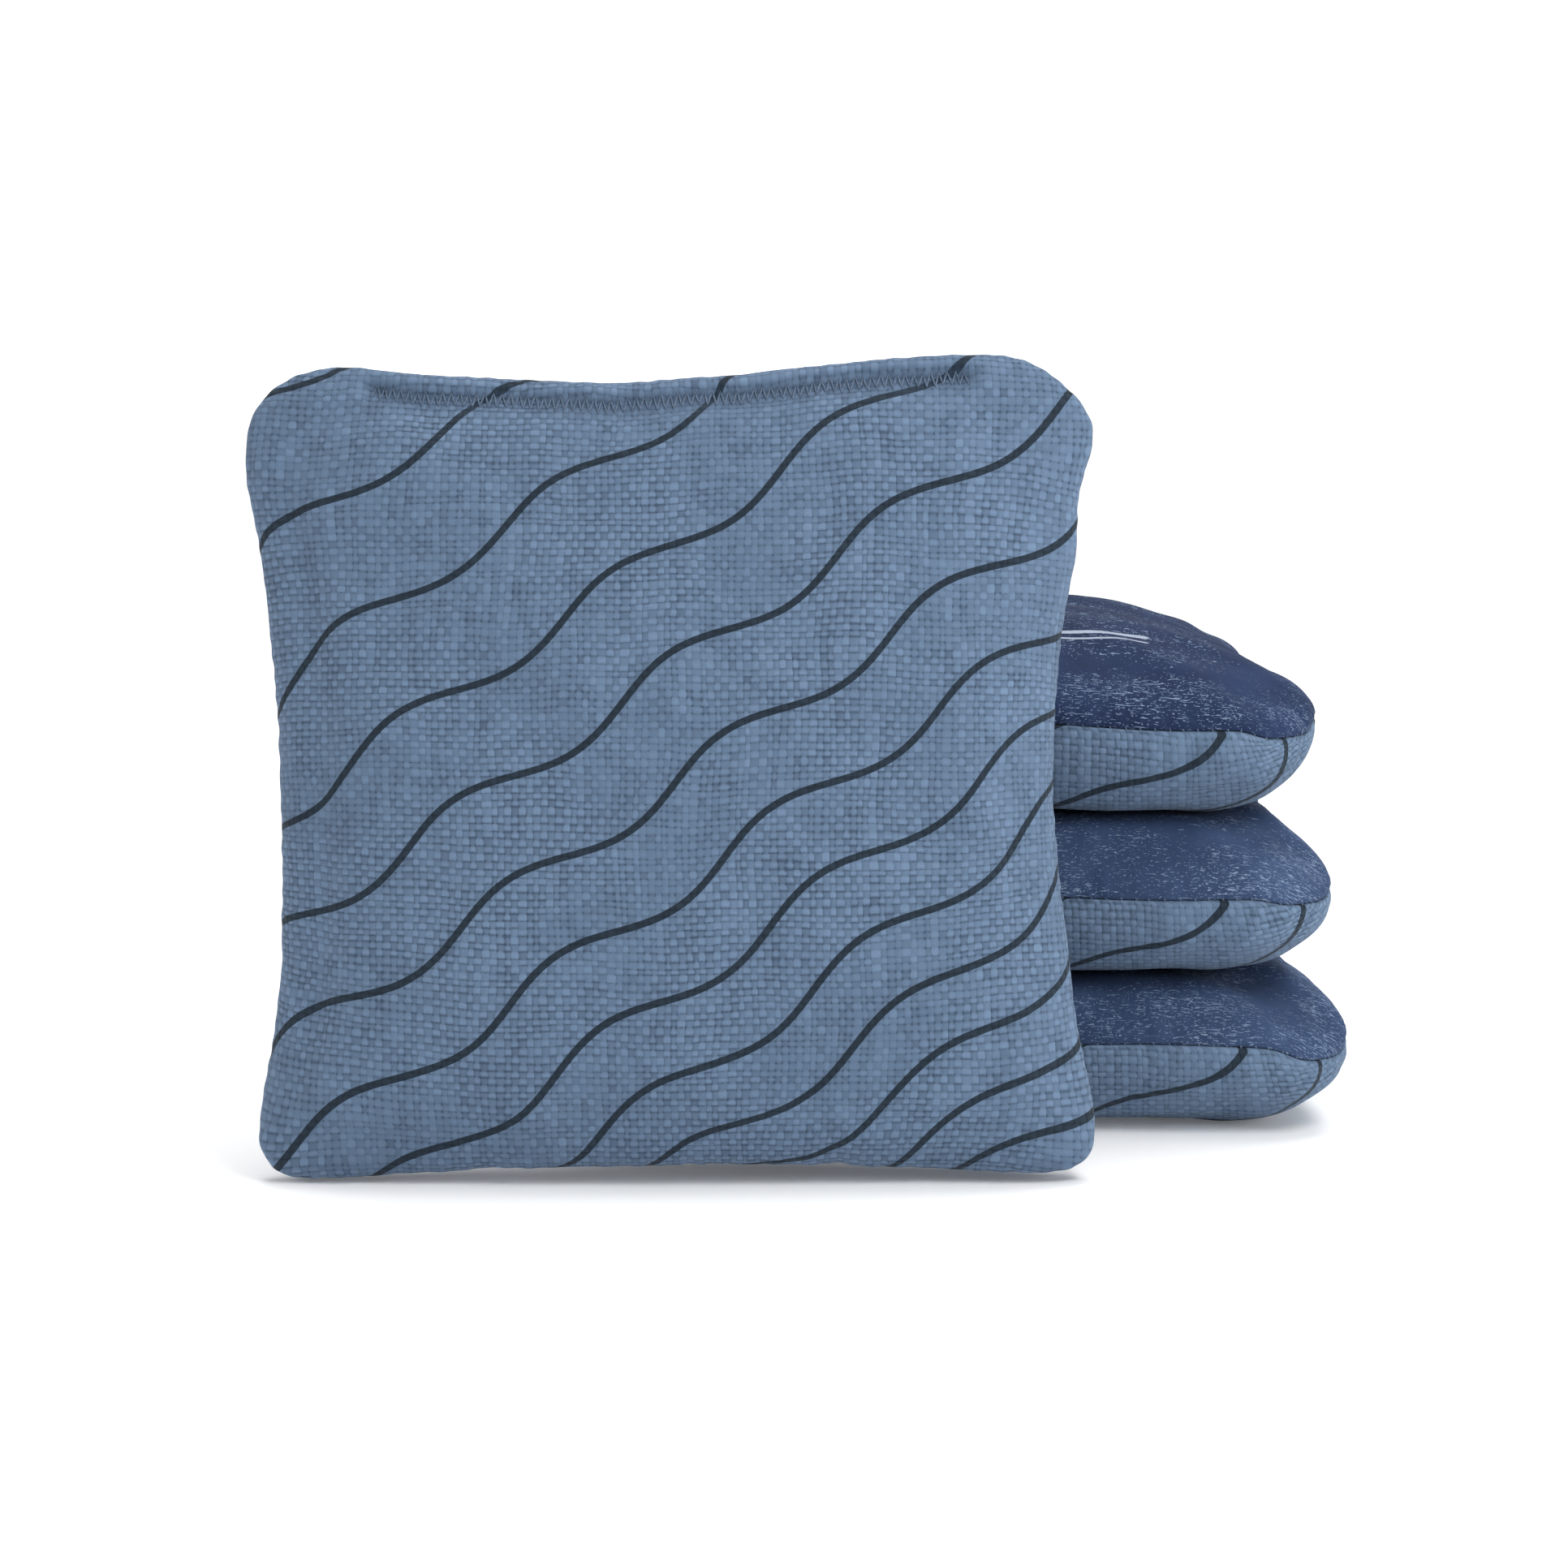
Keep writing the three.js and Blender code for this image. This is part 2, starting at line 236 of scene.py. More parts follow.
class Half:
    """One face of a bag: how high it stands above the seam, and where each point of the flat cloth ends up."""

    def __init__(self, bag, side):
        self.bag, self.side = bag, side
        self.sign = 1.0 if side == "woven" else -1.0
        self.k = bag.halves[side]
        r = 1 - (1 - np.linspace(0, 1, 321)) ** 2.6
        R, T = np.meshgrid(r, TH)
        px, py, pz = self.base(R, T)
        seg = np.sqrt(np.diff(px, axis=1) ** 2 + np.diff(py, axis=1) ** 2 + np.diff(pz, axis=1) ** 2)
        arc = np.concatenate([np.zeros((len(TH), 1)), np.cumsum(seg, 1)], 1)
        self.total = arc[:, -1].copy()
        arc /= arc[:, -1:]
        self.rk, self.fwd = r, arc
        self.tau = np.linspace(0, 1, 301)
        self.inv = np.array([np.interp(self.tau, arc[j], r) for j in range(len(TH))])
        self.pucker = Waves(bag.seed * 7 + (1 if side == "woven" else 2), [89, 103, 127, 149, 173])
        self.fold = Waves(bag.seed * 7 + (3 if side == "woven" else 4), [19, 26, 33, 41])
        self.lump = Lumps(bag.seed * 7 + (5 if side == "woven" else 6), 14, 42)

    def dome(self, r, th):
        k = self.k
        p, q = r * at(BX, th), r * at(BY, th)
        drop = k.get("ears", 0.72)
        drop = drop + (k.get("ears_back", drop) - drop) * smooth(q, 0.0, 0.5)
        ears = 1 - drop * (np.abs(p * q) / 0.8) ** 1.5
        shape = np.clip((1 - r ** k.get("n", 4.0)) * np.clip(ears, 0.05, 1), 0, 1) ** k.get("c", 0.5)
        y = r * at(self.bag.r, th) * np.sin(th)
        x = r * at(self.bag.r, th) * np.cos(th)
        shape = shape * (1 - k.get("sag", 0) * smooth(y, 5, 62) + k.get("low", 0) * np.exp(-(((y + 30) / 38) ** 2) - (x / 60) ** 2))
        return shape

    def height(self, r, th):
        k = self.k
        s = self.dome(r, th)
        if "flat" in k:
            top = k["flat"] * k.get("plump", 1.5)
            a, b, e = s * top, np.full_like(s, k["flat"]), k.get("edge", 1.6)
            hi = np.maximum(a, b)
            lo = np.minimum(a, b)
            h = lo - e * np.log1p(np.exp(-(hi - lo) / e))
            h = h + e * math.log1p(math.exp(-(top - k["flat"]) / e)) * smooth(s, 0.1, 1.0)
            self_w = 1 / (1 + np.exp((a - b) / e))
            return ROLL + np.maximum(h, 0) * (1 - ROLL / k["flat"]), self_w
        return ROLL + s * (k["depth"] - ROLL), np.ones_like(s)

    def base(self, r, th):
        sx, sy, sz = self.bag.seam(th)
        h, _ = self.height(r, th)
        return r * sx, r * sy, sz * r**3 + self.sign * h

    def place(self, x, y):
        """Cloth position (flat, mm) to bag frame, with the polar coordinates that belong to it."""
        th = np.arctan2(y, x)
        tau = np.clip(np.hypot(x, y) / at(R_FLAT, th), 0, 1)
        j = (th + PI) / (2 * PI) * (len(TH) - 1)
        j0 = np.clip(j.astype(int), 0, len(TH) - 2)
        fj = j - j0
        i = tau * (len(self.tau) - 1)
        i0 = np.clip(i.astype(int), 0, len(self.tau) - 2)
        fi = i - i0
        inv = self.inv
        r = (inv[j0, i0] * (1 - fj) + inv[j0 + 1, i0] * fj) * (1 - fi) + (
            inv[j0, i0 + 1] * (1 - fj) + inv[j0 + 1, i0 + 1] * fj) * fi
        px, py, pz = self.base(r, th)
        return np.stack([px, py, pz], -1), r, th, tau


def bilinear(table, u, v):
    """Table values at fractional rows u and columns v."""
    i0 = np.clip(u.astype(int), 0, table.shape[0] - 2)
    j0 = np.clip(v.astype(int), 0, table.shape[1] - 2)
    a, b = u - i0, v - j0
    return (table[i0, j0] * (1 - a) + table[i0 + 1, j0] * a) * (1 - b) + (table[i0, j0 + 1] * (1 - a) + table[i0 + 1, j0 + 1] * a) * b


def bilinear3(table, u, v):
    """The same for a table of points."""
    i0 = np.clip(u.astype(int), 0, table.shape[0] - 2)
    j0 = np.clip(v.astype(int), 0, table.shape[1] - 2)
    a, b = (u - i0)[..., None], (v - j0)[..., None]
    return (table[i0, j0] * (1 - a) + table[i0 + 1, j0] * a) * (1 - b) + (table[i0, j0 + 1] * (1 - a) + table[i0 + 1, j0 + 1] * a) * b


def spread(surface, edge, a, b, steps):
    """Let a grid of cloth even itself out over a surface while its edge stays where it is sewn."""
    e = 0.5
    for _ in range(steps):
        X = surface(a, b)
        X[0, :], X[-1, :], X[:, 0], X[:, -1] = edge[0, :], edge[-1, :], edge[:, 0], edge[:, -1]
        pull = (X[2:, 1:-1] + X[:-2, 1:-1] + X[1:-1, 2:] + X[1:-1, :-2]) / 4 - X[1:-1, 1:-1]
        ai, bi = a[1:-1, 1:-1], b[1:-1, 1:-1]
        ta = (surface(ai + e, bi) - surface(ai - e, bi)) / (2 * e)
        tb = (surface(ai, bi + e) - surface(ai, bi - e)) / (2 * e)
        g11, g12, g22 = (ta * ta).sum(-1) + 0.05, (ta * tb).sum(-1), (tb * tb).sum(-1) + 0.05
        r1, r2 = (pull * ta).sum(-1), (pull * tb).sum(-1)
        det = np.maximum(g11 * g22 - g12 * g12, 0.05)
        a[1:-1, 1:-1] += np.clip(0.9 * (g22 * r1 - g12 * r2) / det, -2, 2)
        b[1:-1, 1:-1] += np.clip(0.9 * (g11 * r2 - g12 * r1) / det, -2, 2)
    return a, b


def refine(g):
    """Twice as many cells, by cubic interpolation along each direction."""
    def once(g):
        n = g.shape[0]
        p = np.concatenate([2 * g[:1] - g[1:2], g, 2 * g[-1:] - g[-2:-1]])
        mid = (9 * (p[1:n] + p[2:n + 1]) - p[0:n - 1] - p[3:n + 2]) / 16
        out = np.empty((2 * n - 1,) + g.shape[1:])
        out[::2], out[1::2] = g, mid
        return out
    return once(once(g).T).T


def lay(half):
    """Position of every point of the cloth grid on a face. A point of the face is named by how far it is from the
    middle along the face, and in which direction; the grid of cloth is spread evenly over that."""
    R, T = np.meshgrid(half.tau, TH)
    J, I = np.meshgrid(np.arange(len(TH)), np.arange(len(half.tau)), indexing="ij")
    table = np.stack(half.base(half.inv[J, I], T), -1)
    total = half.total

    def surface(a, b):
        th = np.arctan2(b, a)
        row = (th + PI) / (2 * PI) * (len(TH) - 1)
        tau = np.clip(np.hypot(a, b) / at(total, th), 0, 1) * (len(half.tau) - 1)
        return bilinear3(table, row, tau)

    n = 15
    a = b = None
    while True:
        s = np.linspace(-1, 1, n + 1)
        S, Q = np.meshgrid(s, s, indexing="ij")
        th = np.arctan2(Q * FLAT_Y, S * FLAT_X)
        m = np.maximum(np.abs(S), np.abs(Q))
        if a is None:
            w = m**4
            a = S * 84 * (1 - w) + m * at(total, th) * np.cos(th) * w
            b = Q * 82 * (1 - w) + m * at(total, th) * np.sin(th) * w
        rim = m > 1 - 1e-9
        a[rim], b[rim] = (at(total, th) * np.cos(th))[rim], (at(total, th) * np.sin(th))[rim]
        if n == N:
            break
        a, b = spread(surface, surface(a, b), a, b, {15: 160, 30: 70, 60: 30, 120: 8}[n])
        a, b = refine(a), refine(b)
        n *= 2
    th = np.arctan2(b, a)
    tau = np.clip(np.hypot(a, b) / at(total, th), 0, 1)
    tau.ravel()[RING] = 1.0
    th.ravel()[RING] = np.arctan2(GT * FLAT_Y, GS * FLAT_X).ravel()[RING]
    r = bilinear(half.inv, (th + PI) / (2 * PI) * (len(TH) - 1), tau * (len(half.tau) - 1))
    r.ravel()[RING] = 1.0
    px, py, pz = half.base(r, th)
    return np.stack([px, py, pz], -1), r, th, tau


# ---------------------------------------------------------------- cloth grid shared by every panel
_s = np.linspace(-1, 1, N + 1)
GS, GT = np.meshgrid(_s, _s, indexing="ij")            # first index along x, second along y


def flat_cloth():
    """The same grid on the flat cloth before it is sewn."""
    n, x, y = 15, None, None
    while True:
        s = np.linspace(-1, 1, n + 1)
        S, Q = np.meshgrid(s, s, indexing="ij")
        th = np.arctan2(Q * FLAT_Y, S * FLAT_X)
        rim = np.maximum(np.abs(S), np.abs(Q)) > 1 - 1e-9
        if x is None:
            x, y = S * FLAT_X, Q * FLAT_Y
        x[rim], y[rim] = (at(R_FLAT, th) * np.cos(th))[rim], (at(R_FLAT, th) * np.sin(th))[rim]
        if n == N:
            return x, y
        for _ in range({15: 160, 30: 70, 60: 30, 120: 8}[n]):
            for g in (x, y):
                g[1:-1, 1:-1] += 0.9 * ((g[2:, 1:-1] + g[:-2, 1:-1] + g[1:-1, 2:] + g[1:-1, :-2]) / 4 - g[1:-1, 1:-1])
        x, y = refine(x), refine(y)
        n *= 2


FX, FY = flat_cloth()


def ring_index(n):
    """Indices of the grid's edge, counterclockwise, for a grid with n cells a side."""
    k = np.arange(n)
    return np.concatenate([k * (n + 1), n * (n + 1) + k, (n - k) * (n + 1) + n, n - k])


RING = ring_index(N)
RING_C = ring_index(M)


def grid_quads(n):
    i, j = np.meshgrid(np.arange(n), np.arange(n), indexing="ij")
    a = (i * (n + 1) + j).ravel()
    return np.stack([a, a + n + 1, a + n + 2, a + 1], 1)


def normals_of(P):
    du = np.gradient(P, axis=0)
    dv = np.gradient(P, axis=1)
    n = np.cross(du, dv)
    return n / np.maximum(np.linalg.norm(n, axis=-1, keepdims=True), 1e-9)


def make_mesh(name, verts_mm, quads, tris, attrs, bag, smooth_shade=True):
    co = bag.world(verts_mm) * MM
    me = bpy.data.meshes.new(name)
    loops = np.concatenate([quads.ravel(), tris.ravel()]) if len(tris) else quads.ravel()
    total = np.concatenate([np.full(len(quads), 4), np.full(len(tris), 3)])
    start = np.concatenate([[0], np.cumsum(total)[:-1]])
    me.vertices.add(len(co))
    me.vertices.foreach_set("co", co.astype(np.float32).ravel())
    me.loops.add(len(loops))
    me.loops.foreach_set("vertex_index", loops.astype(np.int32))
    me.polygons.add(len(total))
    me.polygons.foreach_set("loop_start", start.astype(np.int32))
    me.update(calc_edges=True)
    me.validate()
    if smooth_shade:
        me.polygons.foreach_set("use_smooth", np.ones(len(total), bool))
    for key, val in attrs.items():
        val = np.asarray(val, np.float32)
        kind = "FLOAT" if val.ndim == 1 else "FLOAT_VECTOR"
        a = me.attributes.new(key, kind, "POINT")
        a.data.foreach_set("value" if val.ndim == 1 else "vector", val.ravel())
    me.update()
    ob = bpy.data.objects.new(name, me)
    scene.collection.objects.link(ob)
    return ob


# ---------------------------------------------------------------- printed lines: a plain repeat pattern made by formula
def line(points, half, wobble=0.0, seed=0):
    p = catmull(points, 24)
    d = np.concatenate([[0], np.cumsum(np.hypot(*np.diff(p, axis=0).T))])
    n = max(int(d[-1] / 0.14), 4)
    t = np.linspace(0, d[-1], n)
    q = np.c_[np.interp(t, d, p[:, 0]), np.interp(t, d, p[:, 1])]
    if wobble:
        rng = np.random.default_rng(seed)
        g = np.gradient(q, axis=0)
        g /= np.maximum(np.linalg.norm(g, axis=1, keepdims=True), 1e-9)
        off = sum(a * np.sin(2 * PI * t / w + f) for a, w, f in zip(rng.uniform(0.4, 1, 4), rng.uniform(9, 30, 4), rng.uniform(0, 6.3, 4)))
        fade = np.minimum(1, np.minimum(t, d[-1] - t) / 4)
        q += np.c_[-g[:, 1], g[:, 0]] * (off * fade * wobble)[:, None]
    return q, half


def wave_lines():
    """A plain repeat: parallel diagonal waves, all the same, spaced wider and wider from one corner to the other."""
    a = math.radians(34)
    t = np.linspace(-126, 126, 64)
    art, c, step = [], -104.0, 9.5
    while c < 104:
        off = c + 2.6 * np.sin(2 * PI * t / 48)
        pts = np.c_[t * math.cos(a) - off * math.sin(a), t * math.sin(a) + off * math.cos(a)]
        art.append(line([tuple(p) for p in pts], 0.66))
        c += step
        step *= 1.08
    return art


def stripe():
    """A plain pair of pale straight lines on the navy face."""
    return [line([(-44, -44.5), (0, -44.5), (44, -44.5)], 1.0), line([(-44, -48.5), (0, -48.5), (44, -48.5)], 0.5)]


def nearest_stroke(art, x, y):
    """For each point: how far outside the nearest stroke it is, and the way to that stroke's middle with its half width."""
    best = np.full(len(x), 9.0)
    near = np.tile(np.array([9.0, 9.0, 0.6]), (len(x), 1))
    for half in sorted({round(h, 3) for _, h in art}):
        pts = np.concatenate([p for p, h in art if round(h, 3) == half])
        pts = pts[(np.abs(pts[:, 0]) < 88) & (np.abs(pts[:, 1]) < 90)]
        tree = KDTree(len(pts))
        for i, (a, b) in enumerate(pts):
            tree.insert((a, b, 0.0), i)
        tree.balance()
        for i, (a, b) in enumerate(zip(x, y)):
            q, _k, d = tree.find((a, b, 0.0))
            if d - half < best[i]:
                best[i] = d - half
                near[i] = (q[0] - a, q[1] - b, half)
    return best, near


# cloth coordinates of the rolled edge carry on past the face's own
_rth = np.arctan2(FY.ravel()[RING], FX.ravel()[RING])
ROLL_STEPS = [25, 50, 75, 90]


def roll_cloth(extra):
    return FX.ravel()[RING] + extra * np.cos(_rth), FY.ravel()[RING] + extra * np.sin(_rth)


ALL_X = np.concatenate([FX.ravel()] + [roll_cloth(ROLL * math.radians(a))[0] for a in ROLL_STEPS])
ALL_Y = np.concatenate([FY.ravel()] + [roll_cloth(ROLL * math.radians(a))[1] for a in ROLL_STEPS])
INK = {"woven": nearest_stroke(wave_lines(), ALL_X, ALL_Y), "navy": nearest_stroke(stripe(), ALL_X, ALL_Y)}


# ---------------------------------------------------------------- one panel
def closing_groove(bag, half, r, th, P):
    """How far the cloth is drawn in by the closing stitches (0 to 1), the dimples at their ends, and the lip above."""
    x, y = P[..., 0], P[..., 1]
    edge = at(bag.r, th) * np.sin(th)
    d = edge - y                                       # below the closing edge, as seen from the front
    back = y > 30
    along = smooth(x, -56, -50) * (1 - smooth(x, 51, 57)) * back
    wave = 0.18 * np.cos(x * 0.21 + bag.seed) + 0.12 * np.cos(x * 0.57)
    t = d - wave
    depth = smooth(t, 1.7, 2.9) * (1 - smooth(t, 3.6, 9.0))
    ends = (np.exp(-(((x + 52) / 2.2) ** 2)) + np.exp(-(((x - 53) / 2.2) ** 2))) * np.exp(-(((t - 3.4) / 1.5) ** 2)) * back
    lip = np.exp(-(((t - 1.0) / 0.9) ** 2))
    return depth * along, ends, lip * along


def build_panel(bag, side):
    half = Half(bag, side)
    P, r, th, tau = lay(half)
    d_rim = (1 - tau) * at(half.total, th)
    f = at(bag.arc, th)
    _, free = half.height(r, th)
    rise = 1 - np.exp(-d_rim / 0.9)
    corner = np.exp(-((at(bag.corner_dist, th) / 16) ** 2))
    kp, kf = half.k.get("pucker", 0.13), half.k.get("fold", 0.26)
    disp = kp * (1 + corner) * half.pucker(f) * np.exp(-d_rim / 3.6) * rise
    disp += kf * (1 + 0.3 * corner) * half.fold(f) * np.exp(-d_rim / 13.0) * (1 - np.exp(-d_rim / 5.0)) * (0.35 + 0.65 * free)
    disp += half.k.get("lump", 0.22) * half.lump(FX, FY) * free * smooth(d_rim, 4, 18)
    # the turned-in allowance makes a faint band along the edge, with a soft valley behind it
    left = smooth(-FX, 35, 62)
    band = half.k.get("band", 0.4) * (0.30 + 1.0 * left)
    disp -= band * np.exp(-(((d_rim - 12.5) / 4.2) ** 2)) * (1 - 0.5 * corner)
    groove, ends, lip = closing_groove(bag, half, r, th, P)
    disp += -1.35 * groove - 0.8 * ends + 0.30 * lip
    n = normals_of(P) * half.sign
    P2 = P + n * disp[..., None]
    # keep the faces of stacked bags behind their contact planes
    lim = half.k.get("flat")
    if lim is not None:
        w = P2[..., 2] * half.sign
        P2[..., 2] = half.sign * np.minimum(w, lim + 0.05)
    n2 = normals_of(P2) * half.sign

    outer = P2.reshape(-1, 3)
    rp = outer[RING]
    rth = th.ravel()[RING]
    rad = np.c_[np.cos(rth), np.sin(rth), np.zeros(len(RING))]
    zc = at(bag.z, rth)
    rings = []
    for a in ROLL_STEPS:
        c, s = math.cos(math.radians(a)), math.sin(math.radians(a))
        q = rp - rad * (ROLL * (1 - c))
        q[:, 2] = zc + half.sign * max(ROLL * (1 - s), 0.04)
        rings.append(q)
    inner_rim = rp - rad * 3.2
    inner_rim[:, 2] = zc + half.sign * 0.04
    step = N // M
    P3 = P2[::step, ::step]
    lining = (P3 - n2[::step, ::step] * 0.95 * 1.0).reshape(-1, 3)
    lr = rp[::step] - rad[::step] * 3.2
    lr[:, 2] = zc[::step] + half.sign * 1.0
    lining[RING_C] = lr
    verts = np.concatenate([outer, *rings, inner_rim, lining])
    n0 = len(outer)
    m = len(RING)
    quads = [grid_quads(N)]
    prev = RING
    k = np.arange(m)
    kn = (k + 1) % m
    for i in range(len(rings) + 1):
        cur = n0 + i * m + k
        quads.append(np.stack([prev[k], cur[k], cur[kn], prev[kn]], 1))
        prev = cur
    base = n0 + (len(rings) + 1) * m
    quads.append(grid_quads(M)[:, ::-1] + base)
    tris = []
    mc = len(RING_C)
    lc = base + RING_C
    for c in range(mc):
        a, b = lc[c], lc[(c + 1) % mc]
        for j in range(step):
            f0, f1 = prev[(c * step + j) % m], prev[(c * step + j + 1) % m]
            anchor = a if j < step // 2 else b
            tris.append((f0, anchor, f1))
            if j == step // 2 - 1:
                tris.append((f1, a, b))
    quads = np.concatenate(quads)
    tris = np.array(tris)
    if half.sign < 0:
        quads, tris = quads[:, ::-1], tris[:, ::-1]
    cloth = np.zeros((len(verts), 3))
    nn = len(ALL_X)
    cloth[:nn, 0], cloth[:nn, 1] = ALL_X, ALL_Y
    cx, cy = roll_cloth(ROLL * PI / 2 + 2.2)
    cloth[nn:nn + m, 0], cloth[nn:nn + m, 1] = cx, cy
    cloth[nn + m:, 0] = FX[::step, ::step].ravel()
    cloth[nn + m:, 1] = FY[::step, ::step].ravel()
    ink = np.full(len(verts), 9.0)
    ink[:nn] = INK[side][0]
    near = np.tile(np.array([9.0, 9.0, 0.6]), (len(verts), 1))
    near[:nn] = INK[side][1]
    rim = np.zeros(len(verts))
    rim[:n0] = np.minimum(d_rim, 60).ravel()
    # mask for the painted shade in the closing groove and its end dimples
    tuck_shade = np.zeros(len(verts))
    tuck_shade[:n0] = np.clip(groove + 0.7 * ends, 0, 1).ravel()
    edge = np.zeros(len(verts))
    edge[:n0] = np.exp(-d_rim / 2.2).ravel()
    edge[n0:nn] = 1
    ob = make_mesh(f"{bag.name}_{side}_panel_cloth", verts, quads, tris, {"fab": cloth, "ink": ink, "near": near, "tuck_shade": tuck_shade, "edge": edge, "rim": rim}, bag)
    half.P, half.N3, half.ring_pts, half.zc = P2, n2, rp, zc
    return ob, half


# ---------------------------------------------------------------- thread
def tube(paths, radius, sides=6):
    """Round threads along lists of points, with closed ends."""
    verts, quads, tris = [], [], []
    base = 0
    for p in paths:
        p = np.asarray(p, float)
        n = len(p)
        t = np.gradient(p, axis=0)
        t /= np.maximum(np.linalg.norm(t, axis=1, keepdims=True), 1e-9)
        ref = np.array([0.0, 0.0, 1.0]) if abs(t[0][2]) < 0.9 else np.array([1.0, 0.0, 0.0])
        a = np.cross(t, ref)
        a /= np.maximum(np.linalg.norm(a, axis=1, keepdims=True), 1e-9)
        b = np.cross(t, a)
        ang = np.arange(sides) * 2 * PI / sides
        rr = np.full(n, radius)
        rr[0] = rr[-1] = radius * 0.45
        ringv = p[:, None, :] + rr[:, None, None] * (a[:, None, :] * np.cos(ang)[None, :, None] + b[:, None, :] * np.sin(ang)[None, :, None])
        verts.append(ringv.reshape(-1, 3))
        i = np.arange(n - 1)[:, None] * sides
        k = np.arange(sides)[None, :]
        kn = (k + 1) % sides
        q = np.stack([i + k, i + kn, i + sides + kn, i + sides + k], -1).reshape(-1, 4) + base
        quads.append(q)
        for end, order in ((0, 1), ((n - 1) * sides, -1)):
            f = [base + end + j for j in range(sides)][::-order]
            for j in range(1, sides - 1):
                tris.append((f[0], f[j], f[j + 1]))
        base += n * sides
    return np.concatenate(verts), np.concatenate(quads), np.array(tris)


def surface_sampler(half):
    P, Nn = half.P, half.N3

    def get(i, j):
        i = np.clip(i, 0, N - 1e-6)
        j = np.clip(j, 0, N - 1e-6)
        i0, j0 = i.astype(int), j.astype(int)
        a, b = (i - i0)[:, None], (j - j0)[:, None]
        out = []
        for G in (P, Nn):
            out.append((G[i0, j0] * (1 - a) + G[i0 + 1, j0] * a) * (1 - b) + (G[i0, j0 + 1] * (1 - a) + G[i0 + 1, j0 + 1] * a) * b)
        return out

    return get


def closing_rows(half, x, d):
    """Points on a face at x along the closing edge and d below it, and the normals there."""
    P = half.P
    xs = P[:, N, 0]
    i = np.interp(x, xs, np.arange(N + 1))
    get = surface_sampler(half)
    j = np.full(len(x), float(N - 4))
    top, _ = get(i, np.full(len(x), float(N) - 1e-3))
    for _ in range(14):                                # walk down the face until it is d below the edge
        p, _n = get(i, j)
        err = (top[:, 1] - p[:, 1]) - d
        j = np.clip(j + err * 1.2, N * 0.7, N - 0.01)
        i = i + (x - p[:, 0]) * 1.2
    return get(i, j)


def build_closing(bag, halves):
    paths = []
    for side, half in halves.items():
        pitch = 1.5
        k = np.arange(int(107 / pitch * 2) + 1)
        x = -53.0 + k * pitch / 2
        rng = np.random.default_rng(bag.seed + 77)
        d = 4.5 + 0.18 * np.cos(x * 0.21 + bag.seed) + 0.12 * np.cos(x * 0.57) + np.where(k % 2 == 0, 1.3, -1.3) + rng.uniform(-0.2, 0.2, len(k))
        x = x + rng.uniform(-0.12, 0.12, len(k))
        fine = np.linspace(0, len(k) - 1, (len(k) - 1) * 4 + 1)
        xf, df = np.interp(fine, k, x), np.interp(fine, k, d)
        p, n = closing_rows(half, xf, df)
        bump = 0.04 + 0.10 * np.sin((fine % 1) * PI)
        paths.append(p + n * bump[:, None])
    verts, quads, tris = tube(paths, 0.16, 6)
    return make_mesh(f"{bag.name}_closing_thread", verts, quads, tris, {}, bag)


def build_seam_thread(bag, halves):
    """The short bars of thread that show across the seam where the cloth is rolled away from it."""
    f = np.arange(0, bag.length, 2.7) / bag.length
    rng = np.random.default_rng(bag.seed + 31)
    f = f + rng.uniform(-0.25, 0.25, len(f)) / bag.length
    th = np.interp(f % 1, bag.arc, TH)
    sx, sy, sz = bag.seam(th)
    rad = np.stack([np.cos(th), np.sin(th)], 1)
    tang = np.stack([-rad[:, 1], rad[:, 0]], 1)
    paths = []
    for i in range(len(f)):
        pts = []
        for w, out, slide in ((0.80, -0.42, -0.30), (0.42, -0.46, -0.16), (0.0, -0.60, 0.0), (-0.42, -0.46, 0.16), (-0.80, -0.42, 0.30)):
            pts.append((sx[i] + rad[i, 0] * out + tang[i, 0] * slide, sy[i] + rad[i, 1] * out + tang[i, 1] * slide, sz[i] + w))
        paths.append(pts)
    # and the line of thread itself, inside the seam
    g = np.linspace(0, 1, 420, endpoint=True)
    tg = np.interp(g, bag.arc, TH)
    gx, gy, gz = bag.seam(tg)
    paths.append(np.c_[gx - np.cos(tg) * 1.5, gy - np.sin(tg) * 1.5, gz])
    verts, quads, tris = tube(paths, 0.17, 6)
    return make_mesh(f"{bag.name}_seam_stitches", verts, quads, tris, {}, bag)


